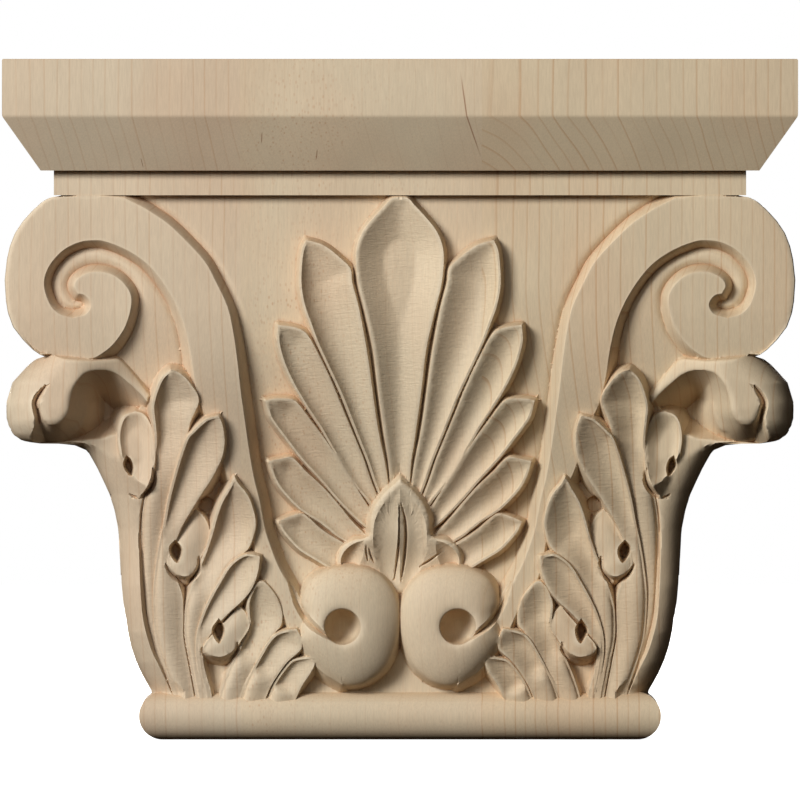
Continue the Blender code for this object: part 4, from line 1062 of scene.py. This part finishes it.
bm = bmesh.new()
bm.from_mesh(capital.data)
cut = bmesh.ops.bisect_plane(bm, geom=bm.verts[:] + bm.edges[:] + bm.faces[:], dist=WALL_SNAP,
                             plane_co=(0, BACK_Y * MM, 0), plane_no=(0, 1, 0), clear_outer=True)
rim = [item for item in cut["geom_cut"] if isinstance(item, bmesh.types.BMEdge)]
bmesh.ops.triangle_fill(bm, edges=rim, use_beauty=True, normal=(0, 1, 0))
bmesh.ops.recalc_face_normals(bm, faces=bm.faces)
loose = sum(len(edge.link_faces) != 2 for edge in bm.edges)
print("cut flat at the wall:", loose, "edges open,", round(bm.calc_volume() * 1e6), "cm3")
bm.to_mesh(capital.data)
bm.free()
capital.data.shade_smooth()
capital.data.set_sharp_from_angle(angle=math.radians(SHARP_ANGLE))
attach(capital, "root")
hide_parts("capital")

# %% [markdown]
# Bare wood tells the eye how it was cut, and the finish adds painted light to it. Proud rims are
# painted paler, a painted highlight where edges catch the light, with some wear, and creases are
# painted darker, a painted shade where shade gathers. The bend of the surface at each point is
# kept with the mesh for that, and so is the ground that a round gouge has rippled, for the wood
# to read.

# %% Curvature for painted crease shade and rim highlights, and gouged ground
BEND_ROUNDS = 1
FIELD_CLEAR = 0.5


def mesh_arrays(mesh):
    """Places and normals of the points, and the pairs of points that edges join."""
    places, normals = np.empty(3 * len(mesh.vertices)), np.empty(3 * len(mesh.vertices))
    pairs = np.empty(2 * len(mesh.edges), int)
    mesh.vertices.foreach_get("co", places)
    mesh.vertex_normals.foreach_get("vector", normals)
    mesh.edges.foreach_get("vertices", pairs)
    return places.reshape(-1, 3) / MM, normals.reshape(-1, 3), pairs.reshape(-1, 2)


def keep_with_mesh(mesh, name, values):
    """Store one number for each point."""
    layer = mesh.attributes.new(name, "FLOAT", "POINT")
    layer.data.foreach_set("value", values.astype(np.float32))


places, normals, pairs = mesh_arrays(capital.data)
here, there = np.vstack([pairs, pairs[:, ::-1]]).T
way = places[there] - places[here]
slope = (way * normals[here]).sum(axis=1) / np.linalg.norm(way, axis=1)
near_count = np.bincount(here, minlength=len(places))
bend = np.bincount(here, slope, len(places)) / near_count
for _ in range(BEND_ROUNDS):
    bend = 0.5 * bend + 0.5 * np.bincount(here, bend[there], len(places)) / near_count
carved = (places[:, 2] > TORUS_HEIGHT + FIELD_CLEAR) & (places[:, 2] < FIELD_TOP - FIELD_CLEAR)
# The bend drives the painted crease shade and the painted rim highlights in the wood.
keep_with_mesh(capital.data, "bend", bend * carved)

plan_out = np.abs(places[:, 0]) / SQUARE_OUT
plan_up = (places[:, 2] - TORUS_HEIGHT) / SQUARE_UP
gouged = np.zeros(len(places), bool)
for outer, inner in [*palmette_pairs(), *(lobe[:2] for lobe in LOBES)]:
    gouged |= inside(plan_out, plan_up, np.vstack([drawn(outer), drawn(inner)[::-1]]))
keep_with_mesh(capital.data, "gouged", gouged * (carved & (places[:, 1] < 0)))
print("bend from", bend.min().round(2), "to", bend.max().round(2), "- gouged points:", gouged.sum())

# %% [markdown]
# Colours are written as the sRGB codes a paint chart would give, and turned linear in one place.
# One function adds a node, sets it and links it, and builds every finish below.

# %% Colours and nodes
def linear(hex_code):
    """An sRGB hex colour as linear values."""
    parts = [int(hex_code[i:i + 2], 16) / 255 for i in (1, 3, 5)]
    return tuple(p / 12.92 if p <= 0.04045 else ((p + 0.055) / 1.055) ** 2.4 for p in parts)


def add(tree, kind, settings=None, inputs=None, output=0):
    """Add a node, set its properties and inputs, link what is a socket, and give its output."""
    item = tree.nodes.new("ShaderNode" + kind)
    for key, value in (settings or {}).items():
        setattr(item, key, value)
    for key, value in (inputs or {}).items():
        if isinstance(value, bpy.types.NodeSocket):
            tree.links.new(value, item.inputs[key])
        elif isinstance(value, str):
            item.inputs[key].default_value = (*linear(value), 1.0)
        else:
            item.inputs[key].default_value = value
    return item.outputs[output]


print("pale maple as linear values:", [round(v, 3) for v in linear("#DCC6A2")])

# %% [markdown]
# The wood is hard maple, left without any finish. Three boards are glued side by side with
# their grain upright, and each was sawn from another part of its tree. The growth lines are thin
# cylinders round a heart that lies far off, so they run straight up the flats, slant across the
# chamfer and loop round every carved lobe, as a solid pattern does and a painted one can't.

# %% Boards and growth lines
JOINTS = (-57.6, 29.5)
BOARDS = [
    # heart across, heart back, ring width, strength of the lines, wood colour
    (-236.0, 16.0, 4.1, 0.34, "#D7C4A8"),
    (-190.0, 30.0, 3.1, 0.14, "#D8C5A7"),
    (17.0, -0.4, 4.0, 0.50, "#D7C3A3"),
]
LINE_COLOUR = "#B98A5C"
FLECK_COLOUR = "#B57F52"
STREAK_COLOUR = "#8A5230"
WAVINESS, WAVE_ACROSS, WAVE_UP = 2.6, 34.0, 150.0
LINE_START, LINE_END = 0.80, 0.97
FAINTEST_YEAR = 0.25

maple = bpy.data.materials.new("unfinished_hard_maple")
maple.use_nodes = True
wood = maple.node_tree
shader = wood.nodes["Principled BSDF"]
ground = add(wood, "TexCoord", output="Object")
place = add(wood, "VectorMath", {"operation": "SCALE"}, {0: ground, "Scale": 1.0 / MM})
across, back, height = (add(wood, "SeparateXYZ", inputs={0: place}, output=axis)
                        for axis in "XYZ")


def stretched(size_across, size_up):
    """Coordinates for a pattern whose marks are so wide and so long, in millimetres."""
    sizes = (1.0 / size_across, 1.0 / size_across, 1.0 / size_up)
    return add(wood, "VectorMath", {"operation": "MULTIPLY"}, {0: place, 1: sizes})


def growth_lines(heart_across, heart_back, width):
    """Thin dark line at the end of each year's growth, each year of another strength."""
    flat = add(wood, "CombineXYZ", inputs={"X": across, "Y": back})
    radius = add(wood, "VectorMath", {"operation": "DISTANCE"},
                 {0: flat, 1: (heart_across, heart_back, 0.0)}, "Value")
    sway = add(wood, "TexNoise", inputs={"Vector": stretched(WAVE_ACROSS, WAVE_UP), "Scale": 1.0,
                                         "Detail": 2.0})
    swayed = add(wood, "Math", {"operation": "MULTIPLY_ADD"}, {0: sway, 1: WAVINESS * 2, 2: radius})
    years = add(wood, "Math", {"operation": "DIVIDE"}, {0: swayed, 1: width})
    year = add(wood, "Math", {"operation": "FLOOR"}, {0: years})
    season = add(wood, "Math", {"operation": "FRACT"}, {0: years})
    late = add(wood, "MapRange", {"interpolation_type": "SMOOTHSTEP"},
               {"Value": season, "From Min": LINE_START, "From Max": LINE_END})
    strength = add(wood, "TexWhiteNoise", {"noise_dimensions": "1D"}, {"W": year})
    strength = add(wood, "MapRange", inputs={"Value": strength, "To Min": FAINTEST_YEAR})
    return add(wood, "Math", {"operation": "MULTIPLY"}, {0: late, 1: strength})


colour = None
for (heart_across, heart_back, width, strength, tint), joint in zip(BOARDS, (None, *JOINTS)):
    line = growth_lines(heart_across, heart_back, width)
    line = add(wood, "Math", {"operation": "MULTIPLY"}, {0: line, 1: strength})
    board = add(wood, "MixRGB", inputs={"Fac": line, "Color1": tint, "Color2": LINE_COLOUR})
    if joint is None:
        colour = board
    else:
        past = add(wood, "Math", {"operation": "GREATER_THAN"}, {0: across, 1: joint})
        colour = add(wood, "MixRGB", inputs={"Fac": past, "Color1": colour, "Color2": board})
print(len(BOARDS), "boards, joined at", JOINTS, "mm")

# %% [markdown]
# The middle board was sawn straight toward the heart, so its rays show as small rust flecks.
# A few mineral streaks run up the grain near the abacus. Over everything lie the short fibres
# and a slow drift from pinkish to straw, which keep a broad flat from looking like plastic.
# Real fibres are too fine to show, so these are drawn about half a millimetre wide.

# %% Flecks, streaks and fibres
FLECK_SIZE, FLECK_STRENGTH = (1.2, 2.3), 0.42
FIBRE_SIZE, DRIFT_SIZE, ROSY_SIZE = (0.45, 5.0), (22.0, 60.0), (40.0, 90.0)
MIDDLE_FADE_IN, MIDDLE_FADE_OUT = 3.0, 60.0
STREAK_STRENGTH = 0.75
STREAKS = [
    # across at the height, height, how long, how wide, lean across per mm up, across per mm back
    (24.0, 226.0, 34.0, 0.42, -0.14, 0.30),
    (-49.8, 218.0, 5.0, 0.30, 0.05, 0.0),
    (-30.0, 212.0, 4.5, 0.30, 0.10, 0.0),
    (-93.0, 209.0, 4.0, 0.25, -0.25, 0.0),
]

cells = add(wood, "TexVoronoi", inputs={"Vector": stretched(*FLECK_SIZE), "Scale": 1.0})
lottery = add(wood, "TexVoronoi", inputs={"Vector": stretched(*FLECK_SIZE), "Scale": 1.0},
              output="Color")
dot = add(wood, "MapRange", {"interpolation_type": "SMOOTHSTEP"},
          {"Value": cells, "From Min": 0.40, "From Max": 0.14})
drift = add(wood, "TexNoise", inputs={"Vector": stretched(*DRIFT_SIZE), "Scale": 1.0,
                                      "Detail": 3.0})
left_joint, right_joint = JOINTS
for source, nothing, full in ((lottery, 0.1, 0.8),
                              (across, left_joint, left_joint + MIDDLE_FADE_IN),
                              (across, right_joint, right_joint - MIDDLE_FADE_OUT),
                              (drift, 0.35, 0.6)):
    share = add(wood, "MapRange", inputs={"Value": source, "From Min": nothing, "From Max": full})
    dot = add(wood, "Math", {"operation": "MULTIPLY"}, {0: dot, 1: share})
dot = add(wood, "Math", {"operation": "MULTIPLY"}, {0: dot, 1: FLECK_STRENGTH})
colour = add(wood, "MixRGB", inputs={"Fac": dot, "Color1": colour, "Color2": FLECK_COLOUR})

for centre, middle, length, width, lean, lean_back in STREAKS:
    slant = add(wood, "VectorMath", {"operation": "DOT_PRODUCT"},
                {0: place, 1: (1.0, -lean_back, -lean)}, "Value")
    beside = add(wood, "Math", {"operation": "SUBTRACT"},
                 {0: slant, 1: centre - lean * middle + lean_back * BACK_Y})
    beside = add(wood, "Math", {"operation": "ABSOLUTE"}, {0: beside})
    above = add(wood, "Math", {"operation": "SUBTRACT"}, {0: height, 1: middle})
    above = add(wood, "Math", {"operation": "ABSOLUTE"}, {0: above})
    thin = add(wood, "MapRange", {"interpolation_type": "SMOOTHSTEP"},
               {"Value": beside, "From Min": width, "From Max": 0.0, "To Max": STREAK_STRENGTH})
    short = add(wood, "MapRange", {"interpolation_type": "SMOOTHSTEP"},
                {"Value": above, "From Min": length / 2, "From Max": length / 5})
    streak = add(wood, "Math", {"operation": "MULTIPLY"}, {0: thin, 1: short})
    colour = add(wood, "MixRGB", inputs={"Fac": streak, "Color1": colour,
                                         "Color2": STREAK_COLOUR})

fibre = add(wood, "TexNoise", inputs={"Vector": stretched(*FIBRE_SIZE), "Scale": 1.0, "Detail": 3.0,
                                      "Roughness": 0.6})
fibre_shade = add(wood, "MapRange", inputs={"Value": fibre, "From Min": 0.3, "From Max": 0.7,
                                            "To Min": 0.93, "To Max": 1.05})
drift_shade = add(wood, "MapRange", inputs={"Value": drift, "From Min": 0.3, "From Max": 0.7,
                                            "To Min": 0.95, "To Max": 1.04})
shade = add(wood, "Math", {"operation": "MULTIPLY"}, {0: fibre_shade, 1: drift_shade})
rosy = add(wood, "TexNoise", inputs={"Vector": stretched(*ROSY_SIZE), "Scale": 1.0})
rosy = add(wood, "MapRange", inputs={"Value": rosy, "From Min": 0.4, "From Max": 0.65,
                                     "To Max": 0.35})
colour = add(wood, "MixRGB", {"blend_type": "MULTIPLY"},
             {"Fac": rosy, "Color1": colour, "Color2": "#FBE6DC"})
colour = add(wood, "MixRGB", {"blend_type": "MULTIPLY"},
             {"Fac": 1.0, "Color1": colour, "Color2": shade})
print("fibres", FIBRE_SIZE[0], "mm wide; flecks every", FLECK_SIZE, "mm")

# %% [markdown]
# Last come painted light and what the tools did. Creases are painted a darker rust-brown, a
# painted shade for the shade that gathers in them, and convex rims are painted paler, a painted
# highlight where edges catch the light, with some wear. End grain drinks the light. Gouged hollows
# carry fine ripples across the grain that sanding never reached, so the leaves look cut rather
# than cast. Bare wood has no lacquer: its sheen is weak and broad, and rougher along some fibres
# than others.

# %% Painted crease shade, painted rim highlights, tool marks and sheen
# The crease colour is painted shade for creases; the rim colour is a painted highlight on rims,
# with some wear.
CREASE_SHADE_COLOUR, RIM_WEAR_AND_HIGHLIGHT_COLOUR = "#B0764A", "#EAD9BC"
RIPPLE_SIZE, RIPPLE_HEIGHT, FIBRE_HEIGHT = (3.6, 0.85), 0.17, 0.035

bend = add(wood, "Attribute", {"attribute_name": "bend"}, output="Fac")
# Painted shade: concave creases, and the knife cuts with them, are darkened to rust-brown where
# shade gathers.
painted_crease_shade = add(wood, "MapRange", inputs={"Value": bend, "From Min": 0.10, "From Max": 0.42,
                                       "To Max": 0.55})
# Painted highlight: convex rims are painted paler where edges catch the light, with some wear.
rim = add(wood, "MapRange", inputs={"Value": bend, "From Min": -0.05, "From Max": -0.24,
                                    "To Max": 0.6})
colour = add(wood, "MixRGB", inputs={"Fac": rim, "Color1": colour, "Color2": RIM_WEAR_AND_HIGHLIGHT_COLOUR})
colour = add(wood, "MixRGB", inputs={"Fac": painted_crease_shade, "Color1": colour, "Color2": CREASE_SHADE_COLOUR})
facing = add(wood, "TexCoord", output="Normal")
facing_up = add(wood, "SeparateXYZ", inputs={0: facing}, output="Z")
facing_up = add(wood, "Math", {"operation": "ABSOLUTE"}, {0: facing_up})
end_grain = add(wood, "MapRange", inputs={"Value": facing_up, "From Min": 0.55, "From Max": 1.0,
                                          "To Max": 0.35})
colour = add(wood, "MixRGB", {"blend_type": "MULTIPLY"},
             {"Fac": end_grain, "Color1": colour, "Color2": "#D8B892"})
wood.links.new(colour, shader.inputs["Base Color"])

rough = add(wood, "MapRange", inputs={"Value": fibre, "To Min": 0.56, "To Max": 0.72})
wood.links.new(rough, shader.inputs["Roughness"])
shader.inputs["Specular IOR Level"].default_value = 0.32

gouged = add(wood, "Attribute", {"attribute_name": "gouged"}, output="Fac")
ripple = add(wood, "TexNoise", inputs={"Vector": stretched(*RIPPLE_SIZE), "Scale": 1.0,
                                       "Detail": 1.5, "Distortion": 0.8})
ripple_height = add(wood, "Math", {"operation": "MULTIPLY"}, {0: ripple, 1: gouged})
ripple_bump = add(wood, "Bump", inputs={"Height": ripple_height, "Strength": 1.0,
                                        "Distance": RIPPLE_HEIGHT * MM})
fibre_bump = add(wood, "Bump", inputs={"Height": fibre, "Strength": 1.0,
                                       "Distance": FIBRE_HEIGHT * MM, "Normal": ripple_bump})
wood.links.new(fibre_bump, shader.inputs["Normal"])
capital.data.materials.clear()
capital.data.materials.append(maple)
print("ripples", RIPPLE_SIZE, "mm;", len(wood.nodes), "nodes in the maple")

# %% [markdown]
# The capital stands on pale matt paper. Lit paper would throw light up into the undercuts and
# fade to grey further off. So the paper gives off its own white and throws none of it on the
# wood, and the edges of the carving stand clear against an even ground.

# %% Paper floor
scene = bpy.context.scene
scene.view_settings.view_transform = "Standard"
PAPER_RADIUS, PAPER_DROP = 3.0, 0.0002

bm = bmesh.new()
bmesh.ops.create_circle(bm, cap_ends=True, segments=96, radius=PAPER_RADIUS)
floor = finished("floor", bm)
floor.location.z = -PAPER_DROP
paper = bpy.data.materials.new("pale_paper")
paper.use_nodes = True
paper_shader = paper.node_tree.nodes["Principled BSDF"]
for socket, value in (("Base Color", (*linear("#F4F4F2"), 1.0)), ("Roughness", 0.9),
                      ("Emission Color", (*linear("#FFFFFF"), 1.0)), ("Emission Strength", 1.0)):
    paper_shader.inputs[socket].default_value = value
floor.data.materials.append(paper)
floor.visible_diffuse = False
floor.visible_glossy = False
print("paper", 2 * PAPER_RADIUS, "m across")

# %% [markdown]
# Carving lives by raking light. One broad soft light, like a window, falls from the upper left
# and in front: it leaves each rim bright and each hollow graded. A weak one in front and a
# faint warm room keep the deepest cuts from going black, as the walls of a workshop do. A third
# light stands behind, where only the back and the top of the capital see it.

# %% Light
AIM = (0.0, 0.0, 0.12)
LIGHTS = [
    # name, place in metres, side of the square in metres, power in watts
    ("window", (-1.56, -1.86, 1.05), 0.8, 66.0),
    ("room", (-0.30, -1.10, 0.63), 0.7, 2.0),
    ("behind", (0.0, 2.20, 0.90), 1.2, 40.0),
]

world = bpy.data.worlds.new("soft_room")
scene.world = world
world.use_nodes = True
room = world.node_tree
warm = room.nodes["Background"]
warm.inputs["Color"].default_value = (*linear("#FFE9D2"), 1.0)
warm.inputs["Strength"].default_value = 0.02
white = add(room, "Background", inputs={"Color": "#FFFFFF", "Strength": 1.0})
seen = add(room, "LightPath", output="Is Camera Ray")
walls = add(room, "MixShader", inputs={"Fac": seen, 1: warm.outputs[0], 2: white})
room.links.new(walls, room.nodes["World Output"].inputs["Surface"])


def turned_to(thing, stand, aim):
    """Put a light or the camera in its place and turn it to a point."""
    thing.location = stand
    thing.rotation_euler = (Vector(aim) - Vector(stand)).to_track_quat("-Z", "Y").to_euler()
    scene.collection.objects.link(thing)


for name, stand, side, power in LIGHTS:
    lamp = bpy.data.lights.new(name, "AREA")
    lamp.size = side
    lamp.energy = power
    light = bpy.data.objects.new(name, lamp)
    light.visible_camera = False
    turned_to(light, stand, AIM)
print(len(LIGHTS), "lights")

# %% [markdown]
# The photograph was taken from far off, a little above the middle of the capital, so its lines
# hardly converge. A very long lens gives the same flat view.

# %% Camera
CAMERA_PLACE, CAMERA_AIM = (0.0, -8.0475, 0.207), (0.0, 0.0, 0.1231)

camera = bpy.data.objects.new("camera", bpy.data.cameras.new("camera"))
camera.data.lens = 1000.0
camera.data.sensor_width = 36.0
camera.data.clip_end = 50.0
turned_to(camera, CAMERA_PLACE, CAMERA_AIM)
scene.camera = camera
print("camera", -CAMERA_PLACE[1], "m in front")
